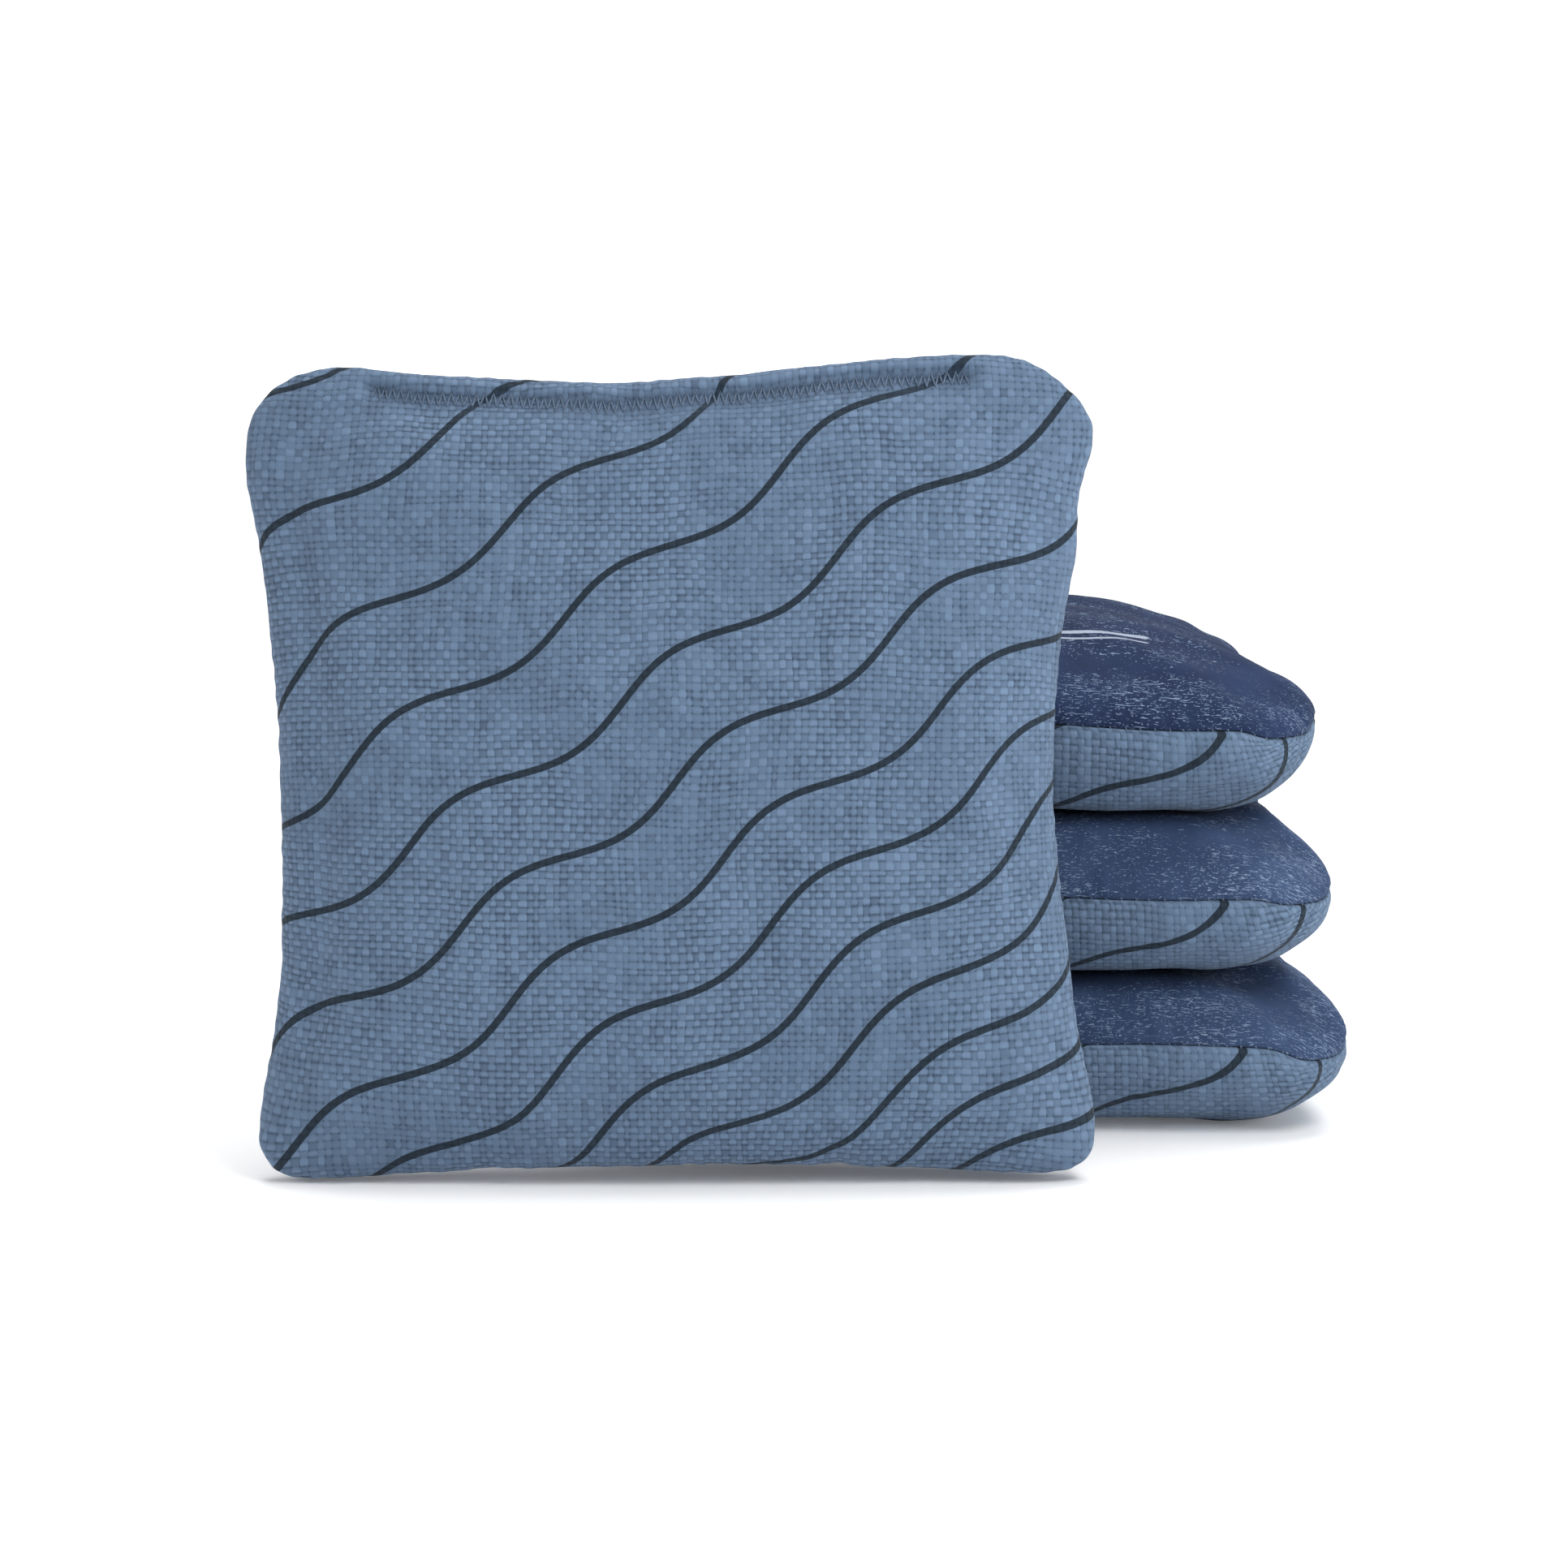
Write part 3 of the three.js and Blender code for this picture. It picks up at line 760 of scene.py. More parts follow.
def build_fill(bag, halves):
    """The body of pellets inside, a little inside both faces, with the pebbled skin of loose pellets."""
    n = 64
    s = np.linspace(-1, 1, n + 1)
    S, T = np.meshgrid(s, s, indexing="ij")
    m = np.maximum(np.abs(S), np.abs(T))
    th = np.arctan2(T * FLAT_Y, S * FLAT_X)
    k = 0.93
    x = k * (S * FLAT_X * (1 - m**6) + m * at(R_FLAT, th) * np.cos(th) * m**6)
    y = k * (T * FLAT_Y * (1 - m**6) + m * at(R_FLAT, th) * np.sin(th) * m**6)
    faces = []
    lump = Lumps(bag.seed + 400, 3.2, 5.2, 30)
    for half in halves.values():
        P, r, t2, tau = half.place(x, y)
        zc = at(bag.z, t2) * r**3
        h = np.abs(P[..., 2] - zc)
        h = np.maximum(h * 0.90 - 1.5 - 0.45 * np.exp(-(((1 - tau) / 0.25) ** 2)) + 0.16 * lump(x, y) * smooth(h, 3, 8), 0.12)
        faces.append(np.stack([P[..., 0] * 0.955, P[..., 1] * 0.955, zc + half.sign * h], -1))
    top, low = faces
    rim = ring_index(n)
    a, b = top.reshape(-1, 3), low.reshape(-1, 3)
    mid = (a[rim] + b[rim]) / 2
    mid[:, :2] *= 1.004
    verts = np.concatenate([a, b, mid])
    na = len(a)
    q = grid_quads(n)
    kk = np.arange(len(rim))
    kn = (kk + 1) % len(rim)
    quads = np.concatenate([
        q, q[:, ::-1] + na,
        np.stack([rim[kk], 2 * na + kk, 2 * na + kn, rim[kn]], 1),
        np.stack([2 * na + kk, na + rim[kk], na + rim[kn], 2 * na + kn], 1),
    ])
    return make_mesh(f"{bag.name}_pellets", verts, quads, np.zeros((0, 3), int), {}, bag)


# ---------------------------------------------------------------- materials
LIGHT = 1.41       # how much brighter than its own colour a face turned to the camera comes out


def srgb(r, g, b, light=1.0):
    def f(c):
        c /= 255.0
        return (c / 12.92 if c <= 0.04045 else ((c + 0.055) / 1.055) ** 2.4) / light
    return (f(r), f(g), f(b), 1.0)


def seen(r, g, b):
    """Base colour of a surface that should look like this under the studio light."""
    return srgb(r, g, b, LIGHT)


class Nodes:
    """Short names for building a node tree."""

    def __init__(self, name):
        self.mat = bpy.data.materials.new(name)
        self.mat.use_nodes = True
        self.t = self.mat.node_tree
        self.t.nodes.clear()
        self.out = self.t.nodes.new("ShaderNodeOutputMaterial")
        self.bsdf = self.t.nodes.new("ShaderNodeBsdfPrincipled")
        self.t.links.new(self.bsdf.outputs[0], self.out.inputs[0])

    def node(self, kind, **props):
        n = self.t.nodes.new(kind)
        for k, v in props.items():
            setattr(n, k, v)
        return n

    def put(self, socket, value):
        if isinstance(value, bpy.types.NodeSocket):
            self.t.links.new(value, socket)
        elif value is not None:
            socket.default_value = value

    def math(self, op, a, b=None, c=None, clamp=False):
        n = self.node("ShaderNodeMath", operation=op, use_clamp=clamp)
        self.put(n.inputs[0], a)
        self.put(n.inputs[1], b)
        self.put(n.inputs[2], c)
        return n.outputs[0]

    def vmath(self, op, a, b=None, scale=None):
        n = self.node("ShaderNodeVectorMath", operation=op)
        self.put(n.inputs[0], a)
        self.put(n.inputs[1], b)
        if scale is not None:
            self.put(n.inputs["Scale"], scale)
        return n.outputs[0]

    def attr(self, name, vector=False):
        n = self.node("ShaderNodeAttribute", attribute_name=name)
        return n.outputs["Vector"] if vector else n.outputs["Fac"]

    def noise(self, vector, scale, detail=2.0, rough=0.5, dims="3D", w=None):
        n = self.node("ShaderNodeTexNoise", noise_dimensions=dims)
        if vector is not None and dims != "1D":
            self.put(n.inputs["Vector"], vector)
        if w is not None:
            self.put(n.inputs["W"], w)
        n.inputs["Scale"].default_value = scale
        n.inputs["Detail"].default_value = detail
        n.inputs["Roughness"].default_value = rough
        return n.outputs["Fac"]

    def ramp(self, x, a, b, lo=0.0, hi=1.0, kind="SMOOTHSTEP"):
        n = self.node("ShaderNodeMapRange", interpolation_type=kind)
        self.put(n.inputs["Value"], x)
        n.inputs["From Min"].default_value = a
        n.inputs["From Max"].default_value = b
        n.inputs["To Min"].default_value = lo
        n.inputs["To Max"].default_value = hi
        return n.outputs["Result"]

    def mix(self, f, a, b, mode="MIX"):
        n = self.node("ShaderNodeMix", data_type="RGBA", blend_type=mode)
        self.put(n.inputs[0], f)
        self.put(n.inputs[6], a)
        self.put(n.inputs[7], b)
        return n.outputs[2]

    def xyz(self, v):
        n = self.node("ShaderNodeSeparateXYZ")
        self.put(n.inputs[0], v)
        return n.outputs

    def vec(self, x, y, z=0.0):
        n = self.node("ShaderNodeCombineXYZ")
        self.put(n.inputs[0], x)
        self.put(n.inputs[1], y)
        self.put(n.inputs[2], z)
        return n.outputs[0]

    def bump(self, height, distance, strength=1.0, normal=None):
        n = self.node("ShaderNodeBump")
        n.inputs["Strength"].default_value = strength
        n.inputs["Distance"].default_value = distance
        self.put(n.inputs["Height"], height)
        self.put(n.inputs["Normal"], normal)
        return n.outputs[0]


def ink_mask(m, soft=0.05, rough=0.10, scale=1.8):
    """1 under the print. The way to the nearest stroke gives a clean edge; the plain distance keeps it to that stroke."""
    fab = m.attr("fab", True)
    v = m.xyz(m.attr("near", True))
    length = m.math("SQRT", m.math("ADD", m.math("MULTIPLY", v[0], v[0]), m.math("MULTIPLY", v[1], v[1])))
    gap = m.math("SUBTRACT", length, v[2])
    gap = m.math("ADD", gap, m.math("MULTIPLY", m.math("SUBTRACT", m.noise(fab, scale, 2.0), 0.5), rough))
    clean = m.ramp(gap, -soft, soft, 1.0, 0.0)
    return m.math("MULTIPLY", clean, m.ramp(m.attr("ink"), 0.16, 0.34, 1.0, 0.0))


def woven_material(name, seed):
    m = Nodes(name)
    fab = m.attr("fab", True)
    # the yarns wander a little
    wander = m.noise(fab, 0.035, 2.0)
    wander2 = m.noise(m.vmath("ADD", fab, (31.7 + seed, 5.2, 9.1)), 0.035, 2.0)
    c = m.xyz(fab)
    x = m.math("ADD", c[0], m.math("MULTIPLY", m.math("SUBTRACT", wander, 0.5), 3.0))
    y = m.math("ADD", c[1], m.math("MULTIPLY", m.math("SUBTRACT", wander2, 0.5), 3.0))
    # some yarns lie closer together than others
    crowd = m.noise(m.vec(m.math("MULTIPLY", x, 0.36), m.math("MULTIPLY", y, 0.03), 51.0 + seed), 1.0, 1.0, 0.5)
    crowd2 = m.noise(m.vec(m.math("MULTIPLY", x, 0.03), m.math("MULTIPLY", y, 0.36), 83.0 + seed), 1.0, 1.0, 0.5)
    x = m.math("ADD", x, m.math("MULTIPLY", m.math("SUBTRACT", crowd, 0.5), 1.6))
    y = m.math("ADD", y, m.math("MULTIPLY", m.math("SUBTRACT", crowd2, 0.5), 1.4))
    px = m.math("DIVIDE", x, YARN)
    py = m.math("DIVIDE", y, YARN)
    i = m.math("ROUND", px)
    j = m.math("ROUND", py)
    fx = m.math("SUBTRACT", px, i)
    fy = m.math("SUBTRACT", py, j)
    # each yarn has its own thickness, which changes along it: slubs
    slub_w = m.noise(m.vec(m.math("MULTIPLY", i, 3.71), m.math("MULTIPLY", py, 0.10), 4.0 + seed), 1.0, 2.0, 0.6)
    slub_f = m.noise(m.vec(m.math("MULTIPLY", px, 0.13), m.math("MULTIPLY", j, 3.37), 17.0 + seed), 1.0, 2.0, 0.6)
    nub = m.noise(m.vec(m.math("MULTIPLY", i, 2.3), m.math("MULTIPLY", j, 2.7), 9.0 + seed), 1.0, 1.0, 0.5)
    kw = m.ramp(slub_w, 0.28, 0.72, 0.50, 0.74, "LINEAR")
    kf = m.ramp(slub_f, 0.28, 0.72, 0.48, 0.68, "LINEAR")

    def crown(f, k):
        q = m.math("DIVIDE", f, k)
        return m.math("SQRT", m.math("MAXIMUM", m.math("SUBTRACT", 1.0, m.math("MULTIPLY", q, q)), 0.0))

    def over(whole, along):
        a = m.math("COSINE", m.math("MULTIPLY", whole, PI))
        b = m.math("COSINE", m.math("MULTIPLY", along, PI))
        return m.math("MULTIPLY", a, b)

    # in some places the yarns stand up as pebbles, in others they lie flat with only the gaps showing
    relief = m.ramp(m.noise(m.vmath("ADD", fab, (70.0 + seed, 11.0, 3.0)), 0.03, 2.0), 0.38, 0.62, 0.22, 0.52)
    warp = m.math("ADD", m.math("MULTIPLY", crown(fx, kw), 0.50), m.math("MULTIPLY", over(i, py), relief))
    warp = m.math("ADD", warp, m.ramp(slub_w, 0.5, 0.8, 0.0, 0.20, "LINEAR"))
    weft = m.math("SUBTRACT", m.math("MULTIPLY", crown(fy, kf), 0.50), m.math("MULTIPLY", over(j, px), m.math("MULTIPLY", relief, 0.62)))
    top = m.math("SMOOTH_MAX", warp, weft, 0.14)
    # loose fibres
    fibre = m.noise(m.vec(m.math("MULTIPLY", c[0], 5.0), m.math("MULTIPLY", c[1], 2.0), 3.0 + seed), 1.0, 3.0, 0.6)
    height = m.math("ADD", top, m.math("MULTIPLY", m.math("SUBTRACT", fibre, 0.5), 0.26))
    height = m.math("ADD", height, m.math("MULTIPLY", m.math("SUBTRACT", nub, 0.5), 0.20))

    # painted shading of the up-and-down of the yarns: raised yarns are painted lighter and low ones darker, and the
    # yarns along the bag are painted brighter where they come over, as if lit from above
    def square(v):
        return m.math("MULTIPLY", m.math("SIGN", v), m.math("POWER", m.math("ABSOLUTE", v), 0.5))

    cx, cy = m.math("COSINE", m.math("MULTIPLY", px, PI)), m.math("COSINE", m.math("MULTIPLY", py, PI))
    float_shading = m.math("MULTIPLY", square(cx), square(cy))
    # painted shadow: a short dark dash where a yarn dives under the next one, full at the lower end of each float,
    # which light from above leaves in shade, and weaker at its upper end
    sy = m.math("SINE", m.math("MULTIPLY", py, PI))
    dive = m.math("MULTIPLY", m.math("MULTIPLY", square(cx), m.math("MULTIPLY", sy, m.math("POWER", m.math("ABSOLUTE", sy), 3.0))), -1.0)
    tone = m.math("ADD", -0.06, m.math("MULTIPLY", top, 0.90))
    tone = m.math("ADD", tone, m.math("MULTIPLY", float_shading, m.math("MULTIPLY", relief, 0.32)))
    # the rest of the tone is the yarns' own uneven colour: slubs, nubs and loose fibres
    tone = m.math("ADD", tone, m.math("MULTIPLY", m.math("SUBTRACT", slub_w, 0.5), 0.65))
    tone = m.math("ADD", tone, m.math("MULTIPLY", m.math("SUBTRACT", slub_f, 0.5), 0.35))
    tone = m.math("ADD", tone, m.math("MULTIPLY", m.math("SUBTRACT", nub, 0.5), 0.95))
    tone = m.math("ADD", tone, m.math("MULTIPLY", m.math("SUBTRACT", fibre, 0.5), 0.55))
    col = m.mix(m.ramp(tone, 0.0, 1.0, kind="LINEAR"), seen(92, 113, 139), seen(129, 156, 188))
    # painted shade in the gaps between yarns, wide beside thin yarns and closed beside thick ones
    gap = m.math("MULTIPLY", m.math("MULTIPLY", m.math("ABSOLUTE", fx), m.math("ABSOLUTE", fy)), 4.0)
    thick = m.math("ADD", m.math("MULTIPLY", m.math("SUBTRACT", slub_w, 0.5), 1.2), m.math("MULTIPLY", m.math("SUBTRACT", slub_f, 0.5), 1.2))
    gap = m.math("SUBTRACT", gap, thick)
    dash_shadow = m.math("ADD", m.math("MAXIMUM", dive, 0.0), m.math("MULTIPLY", m.math("MAXIMUM", m.math("MULTIPLY", dive, -1.0), 0.0), 0.35))
    dash_shadow = m.math("MULTIPLY", m.ramp(m.math("SUBTRACT", dash_shadow, m.math("MULTIPLY", thick, 0.8)), 0.35, 1.0), m.ramp(relief, 0.22, 0.52, 0.30, 1.0))
    gap_shade = m.ramp(gap, 0.42, 0.95)
    # painted shade in the gaps and painted shadow in the dashes, both darkening the weave colour
    col = m.mix(m.math("MULTIPLY", m.math("MAXIMUM", gap_shade, m.math("MULTIPLY", dash_shadow, 0.85)), 0.60), col, seen(58, 76, 99))
    shade = m.ramp(height, 0.30, 1.0, kind="LINEAR")
    cloud = m.noise(m.vmath("ADD", fab, (seed * 3.1, 40.0, 0.0)), 0.03, 3.0, 0.6)
    col = m.mix(m.ramp(cloud, 0.3, 0.7, 0.0, 0.10), col, seen(88, 106, 136))
    # rubbed yarns along the rolled edge
    rub = m.math("MULTIPLY", m.attr("edge"), m.ramp(m.noise(fab, 0.5, 3.0, 0.6), 0.42, 0.7, 0.05, 0.40))
    col = m.mix(rub, col, seen(132, 160, 192))
    # ink on the yarns: it covers them, and its colour carries painted shading of the weave, lighter on the raised yarns
    # and darker between them
    shaded_ink_col = m.mix(m.ramp(height, 0.15, 0.9), seen(28, 40, 51), seen(40, 55, 69))
    mask = ink_mask(m)
    col = m.mix(m.math("MULTIPLY", mask, 0.97), col, shaded_ink_col)
    # painted shade in the drawn-in band of the closing seam and in the dimples at its ends
    col = m.mix(m.math("MULTIPLY", m.attr("tuck_shade"), 0.42), col, seen(58, 78, 102))
    m.put(m.bsdf.inputs["Base Color"], col)
    rough = m.ramp(m.math("ADD", shade, m.math("MULTIPLY", mask, 0.25)), 0.0, 1.2, 0.96, 0.80, "LINEAR")
    m.put(m.bsdf.inputs["Roughness"], rough)
    m.bsdf.inputs["Specular IOR Level"].default_value = 0.2
    m.bsdf.inputs["Sheen Weight"].default_value = 0.06
    m.bsdf.inputs["Sheen Roughness"].default_value = 0.5
    m.put(m.bsdf.inputs["Normal"], m.bump(height, 0.00045, 0.9))
    return m.mat


def navy_material(name, seed, painted_shade, worn):
    m = Nodes(name)
    fab = m.attr("fab", True)
    c = m.xyz(m.vmath("ADD", fab, (seed * 17.3, seed * 9.7, seed * 2.0)))
    rim = m.attr("rim")
    mottle = m.noise(m.vmath("ADD", fab, (seed * 5.0, 0.0, 7.0)), 0.05, 4.0, 0.62)
    # painted shade: each bag's navy is scaled by its own factor, and the top bag's is darker to offset the stronger
    # light it gets from above
    col = m.mix(m.ramp(mottle, 0.32, 0.68), seen(60 * painted_shade[0], 79 * painted_shade[1], 114 * painted_shade[2]), seen(76 * painted_shade[0], 97 * painted_shade[1], 136 * painted_shade[2]))
    # worn print: fine level scratches, gathered in patches; close together near the seam, drawn out over the top
    near_seam = m.ramp(rim, 8.0, 26.0, 1.0, 0.0)
    patch = m.noise(m.vec(m.math("MULTIPLY", c[0], 0.05), m.math("MULTIPLY", c[1], 0.085), 3.0), 1.0, 3.0, 0.62)
    patch_f = m.math("ADD", m.ramp(patch, 0.36, 0.66), m.math("MULTIPLY", near_seam, 0.12))

    def marks(fx, fy, w, detail, rough):
        return m.noise(m.vec(m.math("MULTIPLY", c[0], fx), m.math("MULTIPLY", c[1], fy), w), 1.0, detail, rough)

    def both(a, b):
        return m.math("ADD", m.math("MULTIPLY", a, near_seam), m.math("MULTIPLY", b, m.math("SUBTRACT", 1.0, near_seam)))

    fine = both(marks(0.55, 3.2, 1.0, 2.0, 0.55), marks(0.50, 1.2, 11.0, 2.0, 0.55))
    dots = both(marks(1.7, 3.0, 5.0, 1.0, 0.5), marks(1.7, 1.4, 15.0, 1.0, 0.5))
    long_ = both(marks(0.16, 2.2, 8.0, 3.0, 0.6), marks(0.14, 0.8, 18.0, 3.0, 0.6))
    thr = m.math("SUBTRACT", worn, m.math("MULTIPLY", patch_f, 0.070))
    f1 = m.ramp(m.math("SUBTRACT", fine, thr), 0.0, 0.012)
    f2 = m.ramp(m.math("SUBTRACT", dots, m.math("ADD", thr, 0.02)), 0.0, 0.012)
    f3 = m.ramp(m.math("SUBTRACT", long_, m.math("ADD", thr, 0.02)), 0.0, 0.02)
    fleck = m.math("MAXIMUM", m.math("MAXIMUM", f1, m.math("MULTIPLY", f2, 0.85)), f3)
    tone = m.noise(m.vec(m.math("MULTIPLY", c[0], 0.5), m.math("MULTIPLY", c[1], 1.2), 2.0), 1.0, 2.0)
    fleck_col = m.mix(m.ramp(tone, 0.35, 0.65), seen(112, 136, 170), seen(164, 186, 216))
    col = m.mix(m.math("MULTIPLY", fleck, 0.9), col, fleck_col)
    # pale print, worn through by the same scratches
    worn = m.ramp(m.math("SUBTRACT", fine, 0.64), 0.0, 0.02, 1.0, 0.15)
    mask = m.math("MULTIPLY", ink_mask(m, 0.06, 0.25, 1.2), worn)
    col = m.mix(mask, col, seen(196, 208, 228))
    # close plain weave, with painted shade in the low places of the weave and the nap
    wx = m.math("COSINE", m.math("MULTIPLY", m.xyz(fab)[0], 2 * PI / 0.46))
    wy = m.math("COSINE", m.math("MULTIPLY", m.xyz(fab)[1], 2 * PI / 0.46))
    weave = m.math("MULTIPLY", wx, wy)
    nap = m.noise(fab, 3.4, 3.0, 0.65)
    col = m.mix(m.ramp(m.math("ADD", m.math("MULTIPLY", weave, 0.5), m.math("MULTIPLY", nap, 1.2)), 0.0, 1.2, 0.16, 0.0, "LINEAR"), col, seen(30, 38, 62))
    # painted shade in the drawn-in band of the closing seam
    col = m.mix(m.math("MULTIPLY", m.attr("tuck_shade"), 0.4), col, seen(30, 38, 62))
    rub = m.math("MULTIPLY", m.attr("edge"), m.ramp(m.noise(fab, 0.6, 3.0, 0.6), 0.5, 0.7, 0.0, 0.25))
    col = m.mix(rub, col, seen(92, 108, 148))
    m.put(m.bsdf.inputs["Base Color"], col)
    m.put(m.bsdf.inputs["Roughness"], m.ramp(m.math("ADD", nap, m.math("MULTIPLY", fleck, 0.3)), 0.2, 1.2, 0.92, 0.74, "LINEAR"))
    m.bsdf.inputs["Specular IOR Level"].default_value = 0.12
    m.bsdf.inputs["Sheen Weight"].default_value = 0.015
    m.bsdf.inputs["Sheen Roughness"].default_value = 0.4
    h = m.math("ADD", m.math("MULTIPLY", weave, 0.35), m.math("MULTIPLY", nap, 0.8))
    m.put(m.bsdf.inputs["Normal"], m.bump(h, 0.00010, 0.7))
    return m.mat


def thread_material(name, dark, light):
    m = Nodes(name)
    co = m.node("ShaderNodeTexCoord").outputs["Object"]
    ply = m.noise(co, 2600.0, 2.0, 0.6)
    col = m.mix(m.ramp(ply, 0.35, 0.65), dark, light)
    m.put(m.bsdf.inputs["Base Color"], col)
    m.put(m.bsdf.inputs["Roughness"], m.ramp(ply, 0.3, 0.7, 0.78, 0.6, "LINEAR"))
    m.bsdf.inputs["Sheen Weight"].default_value = 0.15
    m.put(m.bsdf.inputs["Normal"], m.bump(ply, 0.00006, 0.6))
    return m.mat


def pellet_material(name):
    m = Nodes(name)
    co = m.node("ShaderNodeTexCoord").outputs["Object"]
    v = m.node("ShaderNodeTexVoronoi", feature="F1")
    m.put(v.inputs["Vector"], co)
    v.inputs["Scale"].default_value = 280.0
    d = v.outputs["Distance"]
    # painted shade: each pellet is darker towards its edge, between the pellets
    col = m.mix(m.ramp(d, 0.1, 0.7), srgb(232, 228, 216), srgb(176, 170, 154))
    m.put(m.bsdf.inputs["Base Color"], col)
    m.put(m.bsdf.inputs["Roughness"], m.ramp(d, 0.0, 0.8, 0.4, 0.65, "LINEAR"))
    m.put(m.bsdf.inputs["Normal"], m.bump(m.math("SUBTRACT", 1.0, d), 0.0012, 0.8))
    return m.mat


# ---------------------------------------------------------------- build the set
bags = [
    Bag("bottom_bag", rounded_rect(76.0, 74.0, 17.0, 6.0, 3.0), 2.6, 10.0,
        {"flat": 18.0, "plump": 1.5, "edge": 1.8, "n": 4.0, "ears": 0.50},
        {"flat": 11.0, "plump": 1.7, "edge": 1.2, "n": 4.4, "ears": 0.45, "c": 0.62}, 11),
    Bag("middle_bag", rounded_rect(76.0, 74.0, 17.0, 6.0, 3.0), 1.6, 10.0,
        {"flat": 16.7, "plump": 1.5, "edge": 1.8, "n": 4.2, "ears": 0.42},
        {"flat": 14.0, "plump": 1.7, "edge": 1.2, "n": 4.4, "ears": 0.45, "ears_back": 0.75, "c": 0.64}, 23, turn=-0.8),
    Bag("top_bag", rounded_rect(74.8, 74.0, 23.0, 5.0, 3.0), 2.4, 10.5,
        {"flat": 17.7, "plump": 1.5, "edge": 1.8, "n": 4.2, "ears": 0.30},
        {"depth": 18.5, "n": 2.6, "ears": 0.30, "ears_back": 0.80, "c": 0.54, "lump": 0.30}, 37, turn=0.6, shift=-0.8),
    Bag("front_bag", catmull(FRONT_SEAM, 14, closed=True), 0.4, 16.0,
        {"depth": 15.5, "n": 4.2, "ears": 0.60, "sag": 0.22, "low": 0.03, "lump": 0.24, "band": 1.0, "pucker": 0.05, "fold": 0.14},
        {"depth": 13.5, "n": 4.0, "ears": 0.66, "sag": 0.50, "low": 0.0, "lump": 0.30, "pucker": 0.07}, 53, lean=8.0, wave=0.15),
]

thread_blue = thread_material("thread_blue", seen(78, 98, 124), seen(104, 128, 158))
pellet_mat = pellet_material("resin_pellets")
for n, bag in enumerate(bags):
    woven_mat = woven_material(f"{bag.name}_weave", n * 3.0)
    # the top bag's navy is painted darker, as painted shade against the stronger light it gets from above
    navy_mat = navy_material(f"{bag.name}_navy", n * 1.0 + 1.0, *(((0.66, 0.69, 0.77), 0.674) if bag.name == "top_bag" else ((1.0, 1.0, 1.0), 0.656)))
    halves = {}
    for side, mat, slot, fill in (("woven", woven_mat, "woven_fabric", 0.85), ("navy", navy_mat, "navy_fabric", 0.85)):
        ob, half = build_panel(bag, side)
        ob.data.materials.append(mat)
        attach(ob, bag.name)
        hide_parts(f"{bag.name}_{side}_panel")
        halves[side] = half
    for maker, mat, node, slot in (
        (build_fill, pellet_mat, "pellet_fill", "pellets"),
        (build_seam_thread, thread_blue, "seam_thread", "thread"),
        (build_closing, thread_blue, "closing_stitch", "thread"),
    ):
        ob = maker(bag, halves)
        ob.data.materials.append(mat)
        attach(ob, bag.name)
        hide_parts(f"{bag.name}_{node}")

# ---------------------------------------------------------------- stage, light, camera
floor_z = cad_lo[2]
me = bpy.data.meshes.new("floor")
e = 30.0
me.from_pydata([(-e, -e, floor_z - 0.0002), (e, -e, floor_z - 0.0002), (e, e, floor_z - 0.0002), (-e, e, floor_z - 0.0002)], [], [(0, 1, 2, 3)])
floor = bpy.data.objects.new("floor", me)
scene.collection.objects.link(floor)
fm = Nodes("floor_white")
fm.bsdf.inputs["Base Color"].default_value = (1.0, 1.0, 1.0, 1)
fm.bsdf.inputs["Roughness"].default_value = 0.9
fm.bsdf.inputs["Specular IOR Level"].default_value = 0.1
fm.bsdf.inputs["Emission Color"].default_value = (1, 1, 1, 1)
fm.bsdf.inputs["Emission Strength"].default_value = 0.08
floor.data.materials.append(fm.mat)

world = bpy.data.worlds.new("studio")
scene.world = world
world.use_nodes = True
bg = world.node_tree.nodes.get("Background") or world.node_tree.nodes.new("ShaderNodeBackground")
bg.inputs[0].default_value = (1, 1, 1, 1)
bg.inputs[1].default_value = 0.40
wo = world.node_tree.nodes.get("World Output") or world.node_tree.nodes.new("ShaderNodeOutputWorld")
world.node_tree.links.new(bg.outputs[0], wo.inputs[0])


def area(name, location, target, size, power):
    data = bpy.data.lights.new(name, "AREA")
    data.shape = "SQUARE"
    data.size = size
    data.energy = power
    ob = bpy.data.objects.new(name, data)
    scene.collection.objects.link(ob)
    ob.location = location
    ob.rotation_euler = (Vector(target) - Vector(location)).to_track_quat("-Z", "Y").to_euler()
    return ob


def sun(name, direction, strength, spread):
    """Light that arrives from a direction, softened by its spread in degrees."""
    data = bpy.data.lights.new(name, "SUN")
    data.energy = strength
    data.angle = math.radians(spread)
    ob = bpy.data.objects.new(name, data)
    scene.collection.objects.link(ob)
    ob.location = Vector(direction) * 2
    ob.rotation_euler = Vector(direction).to_track_quat("Z", "Y").to_euler()
    return ob


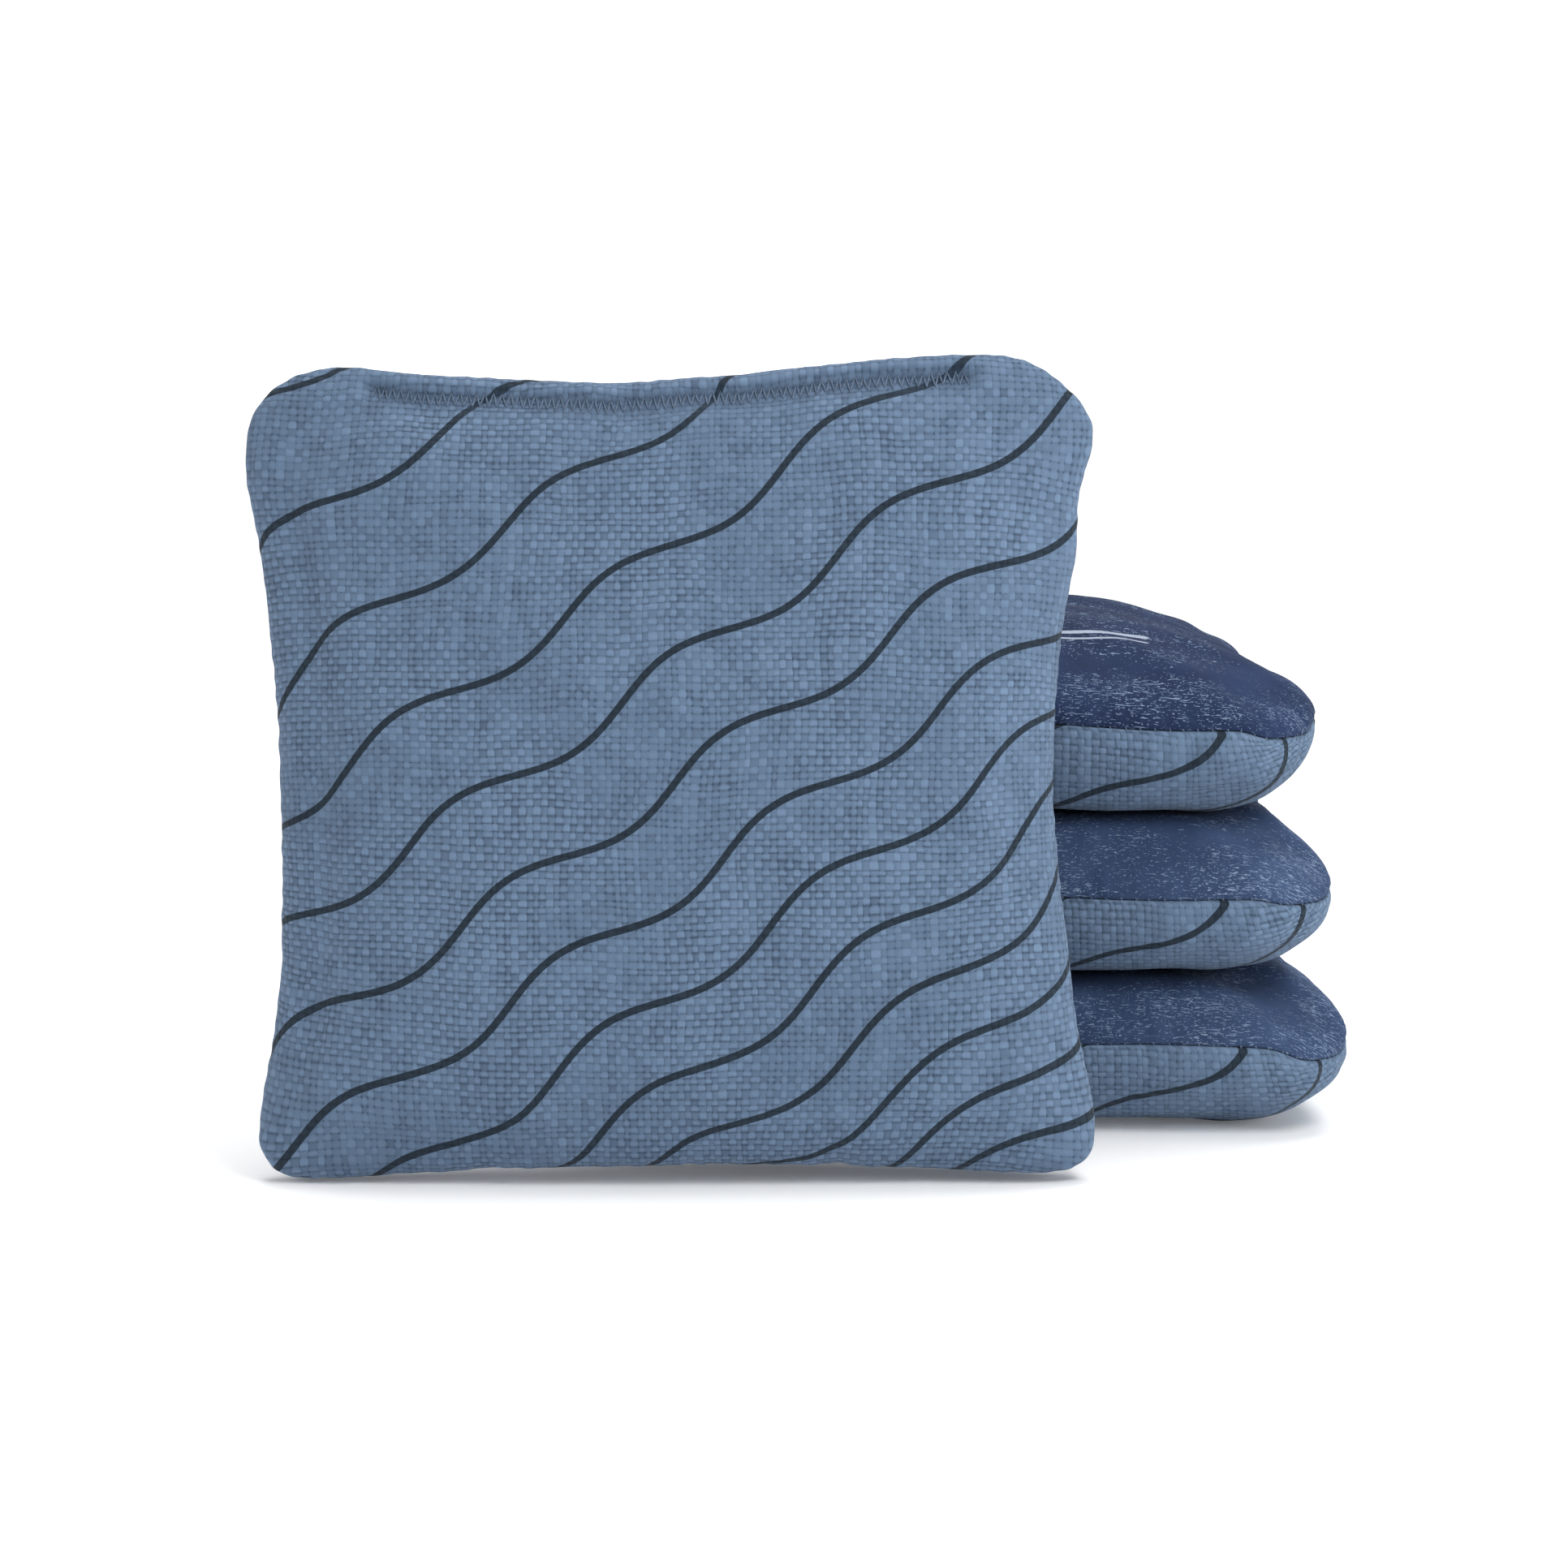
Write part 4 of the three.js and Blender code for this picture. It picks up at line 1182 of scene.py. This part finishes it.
sun("overhead", (0.10, 0.22, 1.0), 1.75, 40)
area("key", (0.27, -0.36, 0.56), (0.03, -0.05, 0.08), 0.24, 1.95)
area("left", (-0.50, -0.14, 0.22), (-0.08, -0.06, 0.08), 0.20, 0.32)
area("right", (0.56, -0.30, 0.20), (0.06, -0.04, 0.06), 0.20, 0.85)

# the white wall behind, low and far, so it hardly lights the bags
wall = bpy.data.meshes.new("backdrop")
wall.from_pydata([(-12, 9, floor_z - 0.1), (12, 9, floor_z - 0.1), (12, 9, 2.6), (-12, 9, 2.6)], [], [(0, 1, 2, 3)])
backdrop = bpy.data.objects.new("backdrop", wall)
scene.collection.objects.link(backdrop)
wm = Nodes("backdrop_white")
wm.bsdf.inputs["Base Color"].default_value = (0.8, 0.8, 0.8, 1)
wm.bsdf.inputs["Emission Color"].default_value = (1, 1, 1, 1)
wm.bsdf.inputs["Emission Strength"].default_value = 1.0
backdrop.data.materials.append(wm.mat)

# the same pale wall on the three other sides, only to be seen: it adds no light to the set
sides = bpy.data.meshes.new("side_walls")
z0, z1 = floor_z - 0.1, 4.5
corners = [(-12, 9), (-12, -12), (12, -12), (12, 9)]
sides.from_pydata([(x, y, z) for x, y in corners for z in (z0, z1)], [], [(2 * k, 2 * k + 2, 2 * k + 3, 2 * k + 1) for k in range(3)])
side_walls = bpy.data.objects.new("side_walls", sides)
scene.collection.objects.link(side_walls)
side_walls.data.materials.append(wm.mat)
side_walls.visible_diffuse = False
side_walls.visible_glossy = False
side_walls.visible_transmission = False
side_walls.visible_shadow = False

cam_data = bpy.data.cameras.new("camera")
cam_data.sensor_width = 36.0
cam_data.lens = 75.0
cam = bpy.data.objects.new("camera", cam_data)
scene.collection.objects.link(cam)
fb = bags[3].c
tilt = math.radians(8.0)
v_hat = np.array([0, math.sin(tilt), math.cos(tilt)])
n_hat = np.array([0, -math.cos(tilt), math.sin(tilt)])
pos = fb + np.array([20.6, 0, 0]) + v_hat * -2.9 + n_hat * 587.0
cam.location = Vector([float(x) * MM for x in pos])
cam.rotation_euler = (math.radians(90 - 8.0), 0, 0)
cam_data.clip_start = 0.01
cam_data.clip_end = 200.0
scene.camera = cam
